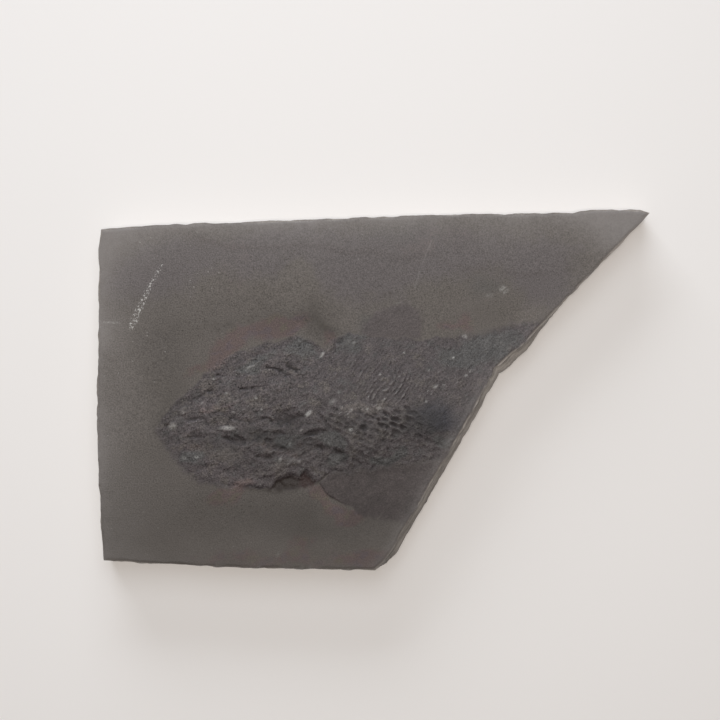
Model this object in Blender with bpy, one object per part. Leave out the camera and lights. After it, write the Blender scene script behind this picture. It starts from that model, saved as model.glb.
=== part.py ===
"""Fossil fish plate: one slab of split dark shale with a fish pressed into its upper face.

The slab lies flat, fossil up. +X runs along its long edge to the sharp corner, +Y is across it, and
the head of the fish is at -X. The origin is under the middle of the slab, on the face it rests on.
The shape is worked out in millimetres and written to the mesh in metres.
"""

from math import cos, pi, radians, sin

import bmesh
import bpy
import numpy as np

MM = 0.001

# The slab
PLATE_LENGTH = 170.0  # over all, along X
PLATE_WIDTH = 111.4  # over all, along Y
PLATE_THICKNESS = 11.5  # from the base to the bedding plane that the fish lies on
RIM_WEAR_WIDTH = 0.7
RIM_WEAR_DEPTH = 0.3
EDGE_NIBBLE = 0.20  # how far small chips take the edge in or out
NIBBLE_FREE_ENDS = 4.0  # an edge keeps its line this near to a corner
LEDGE_REACH = 0.75  # how far one bed of the broken side stands out past another
LEDGE_INSET = 0.45  # share of that reach by which the beds lie in from the rim on average
LEDGE_SHARES = (0.65, 0.35)  # of the reach that the long and the short ledges have
LEDGE_START = 2.0  # the ledges grow to their full reach over this depth
LEDGE_FREE_CORNER = 6.0  # the ledges die out within this distance of a corner
BED_SHIFT = 464.0  # how far apart two beds take their ledges from the same field of lumps
BREAK_SLOPE_DEPTH = 3.0  # the slanted break runs out over this depth below the rim
BED_ENDS = (0.0, 1.3, 2.1, 3.9, 4.6, 6.9, 7.8, 9.8, 11.5)  # depth below the rim where each bed ends
BED_STEP = 0.16  # height of the rounded step from one bed to the next
FOOT_TUCK = 0.7  # how far the lowest bed is worn in at the base
FOOT_HEIGHT = 1.6
BASE_SPARE = 0.6  # material below the base, which the base cut takes off
CUTTER_MARGIN = 1.4  # the block of the base cut, over the slab's length and width
CUTTER_DEPTH = 5.0
SWELL_RISE = 0.22  # slow swells of the bedding plane
RIPPLE_RISE = 0.10
SPLIT_STEP = 0.16  # a thin bed lost from the upper face, above the fish
SPLIT_LINE = (42.0, -0.10)  # its edge: where it crosses X = 0, and its slope
SPLIT_WANDER = 2.4  # how far the edge strays from that line
SPLIT_SOFTNESS = 0.8  # half the width of the edge
SPLIT_PRESENT = (-0.2, 0.3)  # levels of the reach field between which the edge comes in

# The fish
FISH_WANDER = 0.5  # how far the outline and the bones stray from their drawn lines
FISH_EDGE = (-0.4, 1.7)  # distance in from the outline where the edge starts and ends
FISH_EDGE_DRIFT = 0.6  # how much farther or nearer it ends in places
BODY_STEP = 0.50  # height of the fish's edge over the bedding plane
STEP_LEVELS = (0.75, 0.35)  # usual share of that height, and how much it varies
BODY_SWELL = 0.80  # further rise to the middle of the flank
SWELL_DISTANCE = (0.5, 15.0)  # how far in from the outline the rise starts and ends
# Shares of the step lost towards the break, along the back, at the snout and along the rear belly,
# each with the places between which the loss comes in
TAIL_STEP_LOSS, TAIL_LOSS_X, TAIL_LOSS_Y = 0.75, (-4.0, 32.0), (-12.0, 10.0)
BACK_STEP_LOSS, BACK_LOSS_Y = 0.65, (-14.0, 8.0)
SNOUT_STEP_LOSS, SNOUT_LOSS_X = 0.6, (-42.0, -56.0)
BELLY_STEP_LOSS, BELLY_LOSS_X, BELLY_LOSS_Y = 0.5, (-16.0, -8.0), (-18.0, -22.0)
PLATE_TURN = 16.0  # degrees from +X of the broken plates of the skull
PLATE_SIZE = 2.3  # across a plate of the skull
PLATE_STRETCH = 2.2  # how much longer a plate is than wide
PLATE_RISE = 0.26
PLATE_SHARPNESS = 9.0  # how abruptly one broken plate gives way to the next
PLATE_STRAY = 0.4  # how far a plate's middle lies from its cell's, in cells
PLATE_LEVEL = 0.6  # share of its rise by which one plate stands higher than another
PLATE_TILT = 0.9  # share of its rise by which it tilts across a cell
PATCH_EDGE = 1.2  # how abruptly a patch falls off at its edge
MARK_SHARE = 0.7  # share of their full depth or height that the seams and bones have
HEAD_END = (-21.0, -13.0)  # X where the skull starts to give way to scales, and where it has
# A row of scales: degrees from +X of a scale's two edges, and its size along each of them
BACK_SCALES = ((14.0, 55.0), (1.9, 2.3))
FLANK_SCALES = ((-23.0, 65.0), (3.4, 2.05))
SCALE_DRIFT = 0.9  # how far the rows of scales stray from straight
SCALE_RISE = 0.18
SCALE_LEVELS = 0.6  # how much one scale stands higher than another
MIDDLE_LINE = (-4.6, 0.06)  # between back and flank: where it crosses X = 0, and its slope
MIDDLE_SOFTNESS = 1.2  # half the width over which back gives way to flank, and its wander
PIT_WIDTH = 0.90  # share of its cell that a pit takes up
PIT_WALL = 0.50  # share of its cell over which its wall drops
PIT_LEVELS = (0.85, 0.45, 0.3, 1.2)  # usual share of its depth, how much it varies, least, most
LATTICE_SHARE = 0.6  # share of their depth that the pits in rows have beside the largest pits
PIT_BORDER = 1.6  # size of the place that a largest pit keeps clear, over its own
CLEAR_LEVELS = (0.05, 0.6)  # share of a largest pit's depth between which the rows give way to it
SHALLOW_PIT = 0.15
DEEP_PIT = 0.45
DEEP_PITS_AT = (4.5, -10.0)
DEEP_PITS_REACH = (16.0, 5.8)
WORN_SCALES = (-0.95, 0.0)  # levels of the wear field between which the scales come in
WORN_SHARE = 0.4  # share of its relief that a worn scale keeps
# Shares of the scales' relief lost towards the tail and along the back: the share, a slope, and the
# places between which the loss comes in
TAIL_SCALE_LOSS = (0.75, 0.4, 10.0, 30.0)
BACK_SCALE_LOSS = (0.45, 0.2, 5.0, 12.0)
BELLY_TOP = (-13.0, -17.0)  # Y where the scales start to lie tangled, and where they all do
BELLY_END = (26.0, 16.0)  # X by which the tangle has ended, and where it starts to end
TANGLE_SIZE = 1.9
TANGLE_STRETCH = 0.6  # height of a tangled piece, as a share of its length
TANGLE_RISE = 0.26
TANGLE_SCALE_LOSS = 0.8  # share of the scales' relief lost in the tangle
FIN_DRIFT = 0.35  # how far the outline of a fin strays
BACK_FIN_RISE = 0.12
BACK_FIN_EDGE = (-1.2, 2.2)  # distance in from its outline where its edge starts and ends
BELLY_FIN_RISE = 0.36
BELLY_FIN_EDGE = (-0.15, 0.50)
BELLY_FIN_FADE = (-15.0, -3.0)  # X where the fin on the belly starts to thin out, and where it has
HOLLOW_FLOOR = -0.45  # floor of the hollow under the belly, over the bedding plane
HOLLOW_UNEVEN = 0.15  # how much that floor varies
HOLLOW_DRIFT = 0.8  # how far the outline of the hollow strays
HOLLOW_EDGE = (-0.5, 0.9)  # distance in from its outline where its wall starts and ends

# The stone
STONE_COLOUR = (0.105, 0.095, 0.087, 1.0)
STONE_ROUGHNESS = 0.62

# Mesh
GRID_COLUMNS = 300
GRID_ROWS = 200
TRIANGLES = 9000
NOISE_TABLE = 64
NORMAL_REACH = 3  # neighbours on each side that a normal of the rim is evened out over

# The four edges of the upper face
LEFT_EDGE = (
    (-83.0, -52.5), (-83.9, -43.0), (-84.2, -34.0), (-84.9, -18.5), (-85.0, -8.0),
    (-85.0, 0.0), (-84.7, 15.0), (-84.5, 28.0), (-84.5, 43.0), (-83.8, 49.6),
)
TOP_EDGE = (
    (-83.8, 49.6), (-70.0, 50.7), (-53.0, 51.4), (-22.5, 52.5), (8.0, 53.6), (24.0, 54.2),
    (51.5, 54.5), (61.0, 54.6), (66.5, 55.4), (73.0, 55.7), (82.0, 55.5), (84.9, 54.7),
)
BOTTOM_EDGE = (
    (-83.0, -52.5), (-68.5, -53.5), (-53.5, -54.2), (-38.0, -54.8), (-22.5, -55.1),
    (-7.0, -55.4), (0.3, -55.6),
)
BREAK_EDGE = (
    (0.3, -55.6), (3.4, -52.6), (6.0, -49.0), (12.8, -37.0), (20.0, -24.8), (25.2, -15.8),
    (30.4, -6.6), (34.6, 1.8), (37.2, 6.6), (41.8, 10.6), (46.0, 14.2), (50.8, 19.2),
    (56.2, 24.8), (65.0, 34.0), (74.0, 43.2), (81.5, 50.8), (84.9, 54.7),
)
# How far the slanted break runs out past its rim, by the share of the way up the slab: a little
# along its lower half, most at the notch, and not at all above it
BREAK_RUN = (
    (0.00, 0.3), (0.05, 1.8), (0.45, 1.7), (0.50, 1.8), (0.54, 2.2), (0.59, 2.4), (0.63, 2.2),
    (0.68, 1.0), (0.74, 0.2), (1.00, 0.0),
)

# Outlines on the bedding plane. The right-hand ends lie past the break, which cuts the fish off.
FISH_OUTLINE = (
    (-67.1, -12.3), (-65.6, -9.2), (-62.5, -4.9), (-57.9, -0.6), (-53.3, 4.3), (-48.7, 8.6),
    (-42.5, 11.7), (-34.8, 14.5), (-28.6, 16.0), (-24.0, 16.9), (-19.4, 16.0), (-15.1, 13.6),
    (-11.7, 16.0), (-7.1, 17.9), (-2.5, 16.6), (15.1, 16.3), (23.7, 16.9), (33.0, 17.6),
    (39.1, 19.4), (45.3, 20.9), (57.6, 22.2), (60.0, 0.0), (33.0, -22.2), (20.6, -22.5),
    (9.9, -23.1), (6.8, -24.0), (-0.9, -25.3), (-7.1, -25.9), (-13.2, -25.9), (-17.6, -29.0),
    (-25.6, -30.8), (-34.2, -30.8), (-41.0, -30.2), (-53.3, -29.6), (-56.4, -27.1),
    (-60.1, -23.4), (-63.1, -19.1), (-66.2, -15.4),
)
BACK_FIN_OUTLINE = (
    (-4.0, 15.0), (-3.4, 20.3), (0.6, 24.3), (4.6, 26.5), (9.9, 26.8), (12.9, 25.9),
    (14.8, 24.0), (15.4, 15.0),
)
BELLY_FIN_OUTLINE = (
    (-16.9, -28.6), (-14.8, -31.7), (-11.7, -34.2), (-7.7, -35.7), (-3.4, -38.5), (3.7, -40.0),
    (10.8, -40.3), (22.0, -43.1), (33.0, -21.0), (9.9, -21.0), (-7.1, -24.0), (-13.2, -25.0),
)
# The hollow under the belly, where the fish has come away and left its bed
HOLLOW_OUTLINE = (
    (-32.3, -31.0), (-31.4, -29.6), (-29.9, -28.0), (-27.7, -26.9), (-25.3, -26.3),
    (-22.5, -26.2), (-20.9, -25.4), (-19.7, -26.2), (-18.5, -27.4), (-17.2, -27.1),
    (-17.6, -27.9), (-19.7, -29.3), (-22.5, -30.0), (-26.2, -30.8), (-30.2, -31.2),
)

# Seams between the bones of the skull: half width, depth and the line each follows
SEAMS = (
    (0.52, 0.55, ((-66.4, -11.1), (-65.3, -9.2), (-63.8, -7.4), (-62.5, -6.2))),
    (0.45, 0.45, ((-64.7, -11.7), (-62.5, -11.1))),
    (0.49, 0.50, ((-62.5, -5.9), (-60.7, -4.6), (-59.1, -4.0))),
    (0.55, 0.55, ((-56.4, -3.1), (-53.9, -1.8), (-52.1, -0.6), (-49.6, 0.6))),
    (0.55, 0.55, ((-50.2, 1.2), (-47.7, 1.8), (-45.9, 2.8))),
    (0.62, 0.65, ((-48.0, 4.6), (-45.3, 5.2))),
    (0.45, 0.50, ((-59.4, -9.5), (-56.4, -8.6), (-53.6, -8.9), (-51.4, -9.9), (-48.4, -9.9))),
    (0.45, 0.50, ((-45.9, -9.9), (-43.4, -8.9), (-39.4, -9.2), (-36.0, -9.7))),
    (0.55, 0.75, ((-36.0, -9.5), (-34.0, -8.7), (-32.6, -8.9), (-31.4, -9.6))),
    (0.59, 1.00, ((-40.3, 0.0), (-37.6, 0.5))),
    (0.42, 0.40, ((-37.6, 0.5), (-34.2, 1.2), (-32.3, 1.8))),
    (0.39, 0.45, ((-57.0, -14.8), (-54.8, -14.5), (-52.4, -14.8))),
    (0.52, 0.50, ((-48.6, -14.2), (-45.6, -14.5), (-43.4, -15.4))),
    (0.52, 0.60, ((-42.5, -13.2), (-40.9, -14.8), (-40.0, -15.4))),
    (0.55, 0.65, ((-32.6, 6.5), (-30.2, 6.2), (-27.7, 5.2), (-25.9, 4.3))),
    (0.65, 0.65, ((-26.5, 7.4), (-24.6, 6.2), (-23.1, 5.9))),
    (0.45, 0.50, ((-22.8, 8.6), (-21.3, 9.2), (-19.4, 8.9))),
    (0.59, 0.60, ((-37.9, -19.1), (-35.4, -20.3))),
    (0.45, 0.40, ((-35.4, -3.4), (-33.0, -3.7))),
    (0.45, 0.45, ((-64.1, -16.9), (-61.9, -16.3), (-60.1, -15.7))),
    (0.52, 0.45, ((-56.4, -25.6), (-54.5, -25.0))),
    (0.59, 0.50, ((-46.5, -28.6), (-43.4, -29.3), (-41.6, -28.6))),
    (0.52, 0.45, ((-37.9, -29.3), (-34.2, -29.9))),
    (0.45, 0.50, ((-28.6, -17.2), (-26.8, -17.9))),
    (0.59, 0.60, ((-16.9, -17.2), (-15.7, -18.5))),
    (0.65, 0.60, ((-11.4, -17.9), (-8.6, -19.1))),
    (0.52, 0.50, ((-20.6, -21.6), (-19.6, -23.4), (-18.6, -24.6))),
    (0.52, 0.55, ((-16.3, 10.2), (-15.4, 11.1))),
    (0.59, 0.45, ((-21.3, 14.8), (-19.4, 14.2), (-16.9, 13.9))),
    (0.65, 0.60, ((-13.2, 12.3), (-11.7, 14.2), (-9.9, 15.4))),
    (0.45, 0.40, ((-16.0, -8.0), (-14.0, -10.6), (-12.6, -13.0))),
)
# Hollows (negative rise) and raised bones: centre X and Y, half length, half width, degrees from
# +X, rise
BONES = (
    (-25.9, -9.0, 5.0, 2.5, -6.0, -1.10),
    (-42.6, -15.6, 3.4, 1.1, -12.0, -0.80),
    (-33.6, -20.3, 2.4, 1.2, 4.0, -0.85),
    (-18.5, -13.1, 3.9, 1.0, 7.0, -0.85),
    (-20.6, -15.2, 1.6, 0.8, 12.0, -0.60),
    (-29.4, -13.2, 1.9, 0.7, -4.0, -0.65),
    (-32.0, -15.7, 1.1, 0.6, 0.0, -0.60),
    (-28.3, -18.0, 2.0, 0.7, -10.0, -0.50),
    (-16.6, -17.7, 1.2, 0.8, -20.0, -0.60),
    (-10.4, -19.0, 1.7, 0.7, -30.0, -0.55),
    (-64.0, -14.6, 1.2, 0.8, 0.0, -0.50),
    (-44.6, -11.6, 2.5, 0.8, 0.0, 0.45),
    (-61.6, -11.2, 1.4, 1.0, 35.0, 0.65),
    (-59.6, -7.1, 3.6, 1.7, 38.0, 0.40),
    (-41.0, -4.6, 7.5, 3.0, 6.0, 0.40),
    (-48.7, -22.2, 9.0, 5.0, -8.0, 0.45),
    (-35.4, 9.2, 8.0, 2.8, 22.0, 0.35),
    (-24.6, -22.6, 6.0, 3.0, 12.0, 0.85),
    (-28.6, -21.2, 1.3, 0.9, 60.0, 0.45),
    (-20.0, -7.0, 1.5, 0.7, 45.0, 0.45),
    (-15.7, -7.7, 2.2, 1.6, 30.0, 0.35),
    (-15.7, 11.0, 1.1, 0.6, 55.0, 0.45),
    (-24.0, 11.6, 4.6, 2.4, -8.0, 0.35),
)
# The largest pits of the flank: X, Y, half length, half width, degrees from +X, share of the depth
FLANK_PITS = (
    (0.4, -7.3, 1.2, 0.65, -22.0, 0.9),
    (3.8, -7.1, 1.4, 0.75, -22.0, 1.0),
    (7.4, -6.5, 1.3, 0.70, -18.0, 0.9),
    (12.1, -6.9, 1.8, 0.75, -14.0, 1.0),
    (15.8, -6.5, 1.5, 0.80, -10.0, 1.0),
    (3.4, -9.0, 1.0, 0.60, -22.0, 0.9),
    (6.8, -8.8, 1.7, 0.80, -22.0, 1.1),
    (11.0, -8.9, 1.5, 1.00, -30.0, 1.0),
    (14.5, -8.7, 1.4, 0.95, -25.0, 1.0),
    (-4.9, -8.6, 1.2, 0.60, -20.0, 0.7),
    (-1.8, -8.4, 0.9, 0.60, -20.0, 0.6),
    (-8.0, -10.3, 0.9, 0.75, -20.0, 0.8),
    (-3.1, -11.5, 1.1, 1.10, 0.0, 1.1),
    (2.2, -10.8, 1.2, 0.70, -25.0, 0.9),
    (4.3, -11.4, 1.0, 0.70, -25.0, 0.8),
    (6.3, -10.6, 1.4, 0.80, -28.0, 1.1),
    (8.8, -11.5, 1.1, 0.95, -30.0, 1.0),
    (13.9, -10.6, 1.3, 0.75, -30.0, 0.9),
    (-4.6, -13.3, 1.1, 0.55, -10.0, 0.8),
    (-0.6, -14.8, 1.2, 0.70, 15.0, 0.9),
    (1.4, -12.9, 1.2, 0.55, -25.0, 0.7),
    (7.0, -13.0, 1.4, 0.80, -28.0, 0.9),
    (10.6, -13.6, 1.2, 0.60, -32.0, 0.6),
    (4.8, -17.8, 1.9, 0.90, -12.0, 0.9),
    (-0.4, -18.2, 1.0, 0.75, -20.0, 0.8),
    (-4.2, -17.6, 1.2, 0.60, -20.0, 0.7),
    (-10.4, -18.8, 1.4, 0.90, -35.0, 0.9),
    (8.2, -21.6, 1.9, 1.05, -10.0, 0.8),
    (12.2, -22.2, 1.5, 0.80, -15.0, 0.7),
    (16.0, -22.0, 1.9, 0.90, 5.0, 0.6),
)

# Named fields of smooth lumps: the size of a lump in millimetres, and a seed
LUMPS = {
    "wander x": (3.1, 11), "wander y": (3.3, 13), "fish step": (6.0, 15), "fish edge": (5.0, 16),
    "scale drift x": (8.0, 31), "scale drift y": (7.0, 32), "middle line": (6.0, 38),
    "worn scales": (7.0, 39), "fin drift x": (2.2, 41), "fin drift y": (2.4, 42),
    "hollow drift x": (2.4, 43), "hollow drift y": (2.6, 44), "hollow floor": (1.6, 45),
    "swell": (34.0, 51), "ripple": (11.0, 52), "split line": (9.0, 53), "split reach": (40.0, 54),
    "left edge": (2.9, 61), "break edge": (2.9, 63), "bottom edge": (2.9, 65), "top edge": (2.9, 67),
    "rim": (4.0, 71), "long ledges": (16.0, 81), "short ledges": (5.5, 82),
}
PLATE_SEED, TANGLE_SEED, BACK_SEED, FLANK_SEED = 21, 33, 36, 37


def smoothstep(low, high, value):
    """0 below low, 1 above high, and an even curve between them."""
    t = np.clip((value - low) / (high - low), 0.0, 1.0)
    return t * t * (3.0 - 2.0 * t)


def lumps(name, x, y):
    """A named field of smooth lumps between -1 and 1."""
    cell, seed = LUMPS[name]
    table = np.random.default_rng(seed).uniform(-1.0, 1.0, (NOISE_TABLE, NOISE_TABLE))
    column, row = np.floor(x / cell).astype(int), np.floor(y / cell).astype(int)
    across, along = smoothstep(0.0, 1.0, x / cell - column), smoothstep(0.0, 1.0, y / cell - row)
    low, high = row % NOISE_TABLE, (row + 1) % NOISE_TABLE
    left, right = column % NOISE_TABLE, (column + 1) % NOISE_TABLE
    near = table[low, left] * (1.0 - across) + table[low, right] * across
    far = table[high, left] * (1.0 - across) + table[high, right] * across
    return near * (1.0 - along) + far * along


def broken_plates(x, y, cell, seed):
    """Broken plates, one to a cell, each at its own height and tilt, within about -1 and 1."""
    table = np.random.default_rng(seed).uniform(-1.0, 1.0, (5, NOISE_TABLE, NOISE_TABLE))
    column, row = np.floor(x / cell).astype(int), np.floor(y / cell).astype(int)
    total, height = np.zeros(np.shape(x)), np.zeros(np.shape(x))
    for step_x in (-1, 0, 1):
        for step_y in (-1, 0, 1):
            here_x, here_y = column + step_x, row + step_y
            own = table[:, here_y % NOISE_TABLE, here_x % NOISE_TABLE]
            off_x = x / cell - here_x - 0.5 - PLATE_STRAY * own[0]
            off_y = y / cell - here_y - 0.5 - PLATE_STRAY * own[1]
            weight = np.exp(-PLATE_SHARPNESS * (off_x * off_x + off_y * off_y))
            tilt = PLATE_TILT * (own[3] * off_x + own[4] * off_y)
            height += weight * (PLATE_LEVEL * own[2] + tilt)
            total += weight
    return height / total


def turned(x, y, degrees):
    """The same places in axes turned by an angle."""
    c, s = cos(radians(degrees)), sin(radians(degrees))
    return x * c + y * s, y * c - x * s


def line_distance(x, y, points):
    """Distance from each place to a line of straight stretches."""
    nearest = np.full(np.shape(x), np.inf)
    for (ax, ay), (bx, by) in zip(points, points[1:]):
        dx, dy = bx - ax, by - ay
        t = np.clip(((x - ax) * dx + (y - ay) * dy) / (dx * dx + dy * dy), 0.0, 1.0)
        nearest = np.minimum(nearest, np.hypot(x - ax - t * dx, y - ay - t * dy))
    return nearest


def depth_inside(x, y, outline):
    """Distance in from a closed outline, negative outside it."""
    closed = outline + outline[:1]
    inside = np.zeros(np.shape(x), bool)
    for (ax, ay), (bx, by) in zip(closed, closed[1:]):
        if ay != by:
            inside ^= ((ay > y) != (by > y)) & (x < ax + (y - ay) * (bx - ax) / (by - ay))
    return np.where(inside, 1.0, -1.0) * line_distance(x, y, closed)


def scale_cells(x, y, rows, seed):
    """Place within a scale, from 0 to 1 along both of its edges, and a level of the scale's own."""
    turns, (length, width) = rows
    (long_x, long_y), (row_x, row_y) = ((cos(radians(turn)), sin(radians(turn))) for turn in turns)
    spread = long_x * row_y - long_y * row_x
    along = (x * row_y - y * row_x) / spread / length
    across = (long_x * y - long_y * x) / spread / width
    column, row = np.floor(along).astype(int), np.floor(across).astype(int)
    table = np.random.default_rng(seed).uniform(-1.0, 1.0, (NOISE_TABLE, NOISE_TABLE))
    return along - column, across - row, table[row % NOISE_TABLE, column % NOISE_TABLE]


def patch(x, y, placed, growth=1.0):
    """A soft elliptical patch: its value at each place."""
    at_x, at_y, half_length, half_width, turn, strength = placed
    u, v = turned(x - at_x, y - at_y, turn)
    away = np.hypot(u / half_length, v / half_width) / growth
    return strength * np.exp(-PATCH_EDGE * away**3)


def scale_relief(x, y):
    """Slanted rows of raised scales on the back, and of pits between thin ridges on the flank."""
    drift_x = x + SCALE_DRIFT * lumps("scale drift x", x, y)
    drift_y = y + SCALE_DRIFT * lumps("scale drift y", x, y)
    u, v, level = scale_cells(drift_x, drift_y, BACK_SCALES, BACK_SEED)
    back = SCALE_RISE * (np.sin(pi * u) * np.sin(pi * v) * (1.0 + SCALE_LEVELS * level) - 0.5)
    u, v, level = scale_cells(drift_x, drift_y, FLANK_SCALES, FLANK_SEED)
    lens = PIT_WIDTH * (1.0 - (2.0 * u - 1.0) ** 2) - np.abs(2.0 * v - 1.0)
    usual, varied, least, most = PIT_LEVELS
    pit = smoothstep(0.0, PIT_WALL, lens) * np.clip(usual + varied * level, least, most)
    own = smoothstep(*CLEAR_LEVELS, sum(patch(x, y, placed, PIT_BORDER) for placed in FLANK_PITS))
    pit = LATTICE_SHARE * (1.0 - own) * pit + sum(patch(x, y, placed) for placed in FLANK_PITS)
    off_x, off_y = x - DEEP_PITS_AT[0], y - DEEP_PITS_AT[1]
    deep = np.exp(-((off_x / DEEP_PITS_REACH[0]) ** 2 + (off_y / DEEP_PITS_REACH[1]) ** 2))
    floor = SHALLOW_PIT + (DEEP_PIT - SHALLOW_PIT) * deep
    middle = MIDDLE_LINE[0] + MIDDLE_LINE[1] * x + MIDDLE_SOFTNESS * lumps("middle line", x, y)
    on_flank = np.maximum(own, smoothstep(middle + MIDDLE_SOFTNESS, middle - MIDDLE_SOFTNESS, y))
    return (1.0 - on_flank) * back - on_flank * pit * floor


def skull_relief(x, y):
    """Broken plates, seams, raised bones and hollows of the skull."""
    long_x, long_y = turned(x, y, PLATE_TURN)
    plates = PLATE_RISE * broken_plates(long_x / PLATE_STRETCH, long_y, PLATE_SIZE, PLATE_SEED)
    marks = np.zeros(np.shape(x))
    for half_width, depth, points in SEAMS:
        marks -= depth * np.exp(-((line_distance(x, y, points) / half_width) ** 2))
    marks += sum(patch(x, y, placed) for placed in BONES)
    return plates * smoothstep(HEAD_END[1], HEAD_END[0], x) + MARK_SHARE * marks


def body_relief(x, y):
    """Scales behind the skull: worn away in places, smooth towards the tail, tangled on the belly."""
    clear = WORN_SHARE + (1.0 - WORN_SHARE) * smoothstep(*WORN_SCALES, lumps("worn scales", x, y))
    loss, slope, start, end = TAIL_SCALE_LOSS
    clear *= 1.0 - loss * smoothstep(start, end, x + slope * y)
    loss, slope, start, end = BACK_SCALE_LOSS
    clear *= 1.0 - loss * smoothstep(start, end, y + slope * x)
    tangle = smoothstep(*BELLY_TOP, y) * smoothstep(*BELLY_END, x)
    height = clear * (1.0 - TANGLE_SCALE_LOSS * tangle) * scale_relief(x, y)
    height += TANGLE_RISE * tangle * broken_plates(x, TANGLE_STRETCH * y, TANGLE_SIZE, TANGLE_SEED)
    return height * smoothstep(HEAD_END[0], HEAD_END[1], x)


def fish_relief(x, y):
    """Height of the fish over the bedding plane."""
    wander_x = x + FISH_WANDER * lumps("wander x", x, y)
    wander_y = y + FISH_WANDER * lumps("wander y", x, y)
    inside = depth_inside(wander_x, wander_y, FISH_OUTLINE)
    step = 1.0 - TAIL_STEP_LOSS * smoothstep(*TAIL_LOSS_X, x) * smoothstep(*TAIL_LOSS_Y, y)
    step *= 1.0 - BACK_STEP_LOSS * smoothstep(*BACK_LOSS_Y, y)
    step *= 1.0 - SNOUT_STEP_LOSS * smoothstep(*SNOUT_LOSS_X, x)
    step *= 1.0 - BELLY_STEP_LOSS * smoothstep(*BELLY_LOSS_X, x) * smoothstep(*BELLY_LOSS_Y, y)
    step *= BODY_STEP * (STEP_LEVELS[0] + STEP_LEVELS[1] * lumps("fish step", x, y))
    edge_end = FISH_EDGE[1] + FISH_EDGE_DRIFT * lumps("fish edge", x, y)
    on_fish = smoothstep(FISH_EDGE[0], edge_end, inside)
    height = step + BODY_SWELL * smoothstep(*SWELL_DISTANCE, inside)
    return on_fish * (height + skull_relief(wander_x, wander_y) + body_relief(x, y))


def fin_relief(x, y):
    """Height over the bedding plane of the two fins, which are thin films."""
    drift_x = x + FIN_DRIFT * lumps("fin drift x", x, y)
    drift_y = y + FIN_DRIFT * lumps("fin drift y", x, y)
    back = smoothstep(*BACK_FIN_EDGE, depth_inside(drift_x, drift_y, BACK_FIN_OUTLINE))
    belly = smoothstep(*BELLY_FIN_EDGE, depth_inside(drift_x, drift_y, BELLY_FIN_OUTLINE))
    belly *= smoothstep(BELLY_FIN_FADE[1], BELLY_FIN_FADE[0], x)
    return BACK_FIN_RISE * back + BELLY_FIN_RISE * belly


def bedding_relief(x, y):
    """Slow swells of the bare bedding plane, and the edge of a thin bed lost above the fish."""
    height = SWELL_RISE * lumps("swell", x, y) + RIPPLE_RISE * lumps("ripple", x, y)
    split = SPLIT_LINE[0] + SPLIT_LINE[1] * x + SPLIT_WANDER * lumps("split line", x, y) - y
    reach = smoothstep(*SPLIT_PRESENT, lumps("split reach", x, y))
    return height - SPLIT_STEP * smoothstep(-SPLIT_SOFTNESS, SPLIT_SOFTNESS, split) * reach


def upper_relief(x, y):
    """Height of the whole upper face over the level of its bedding plane."""
    height = bedding_relief(x, y) + np.maximum(fish_relief(x, y), fin_relief(x, y))
    drift_x = x + HOLLOW_DRIFT * lumps("hollow drift x", x, y)
    drift_y = y + HOLLOW_DRIFT * lumps("hollow drift y", x, y)
    floor = HOLLOW_FLOOR + HOLLOW_UNEVEN * lumps("hollow floor", x, y)
    hollow = smoothstep(*HOLLOW_EDGE, depth_inside(drift_x, drift_y, HOLLOW_OUTLINE))
    return height + hollow * (floor - height)


def edge_line(points, count, name):
    """Places at even steps along an edge, with small chips between its two ends."""
    corners = np.array(points, float)
    run = np.concatenate(([0.0], np.cumsum(np.hypot(*np.diff(corners, axis=0).T))))
    steps = np.linspace(0.0, run[-1], count)
    x, y = np.interp(steps, run, corners[:, 0]), np.interp(steps, run, corners[:, 1])
    ends = smoothstep(0.0, NIBBLE_FREE_ENDS, steps) * smoothstep(0.0, NIBBLE_FREE_ENDS, run[-1] - steps)
    along_x, along_y = np.gradient(x), np.gradient(y)
    reach = EDGE_NIBBLE * ends * lumps(name, steps, np.zeros(count)) / np.hypot(along_x, along_y)
    return x + along_y * reach, y - along_x * reach


def map_upper_face(u, v):
    """Where each place of the unit square lies in the four-sided outline of the upper face."""
    lines = (
        edge_line(LEFT_EDGE, GRID_ROWS, "left edge"),
        edge_line(BREAK_EDGE, GRID_ROWS, "break edge"),
        edge_line(BOTTOM_EDGE, GRID_COLUMNS, "bottom edge"),
        edge_line(TOP_EDGE, GRID_COLUMNS, "top edge"),
    )
    steps_u, steps_v = np.linspace(0.0, 1.0, GRID_COLUMNS), np.linspace(0.0, 1.0, GRID_ROWS)
    placed = []
    for left, right, low, high in zip(*lines):
        between_sides = (1.0 - u) * np.interp(v, steps_v, left) + u * np.interp(v, steps_v, right)
        between_ends = (1.0 - v) * np.interp(u, steps_u, low) + v * np.interp(u, steps_u, high)
        near = (1.0 - u) * left[0] + u * right[0]
        far = (1.0 - u) * left[-1] + u * right[-1]
        placed.append(between_sides + between_ends - (1.0 - v) * near - v * far)
    return placed


def upper_face():
    """The upper face as an open grid, mapped to its outline and raised to its relief."""
    mesh = bmesh.new()
    bmesh.ops.create_grid(mesh, x_segments=GRID_COLUMNS, y_segments=GRID_ROWS, size=1.0)
    square = np.array([vert.co for vert in mesh.verts])
    x, y = map_upper_face((square[:, 0] + 1.0) / 2.0, (square[:, 1] + 1.0) / 2.0)
    edges = (LEFT_EDGE, TOP_EDGE, BOTTOM_EDGE, BREAK_EDGE)
    from_rim = np.minimum.reduce([line_distance(x, y, edge) for edge in edges])
    wear = RIM_WEAR_DEPTH * np.exp(-((from_rim / RIM_WEAR_WIDTH) ** 2)) * (1.0 + lumps("rim", x, y))
    z = PLATE_THICKNESS + upper_relief(x, y) - wear
    for vert, place in zip(mesh.verts, np.column_stack((x, y, z)) * MM):
        vert.co = place
    return mesh


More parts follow.
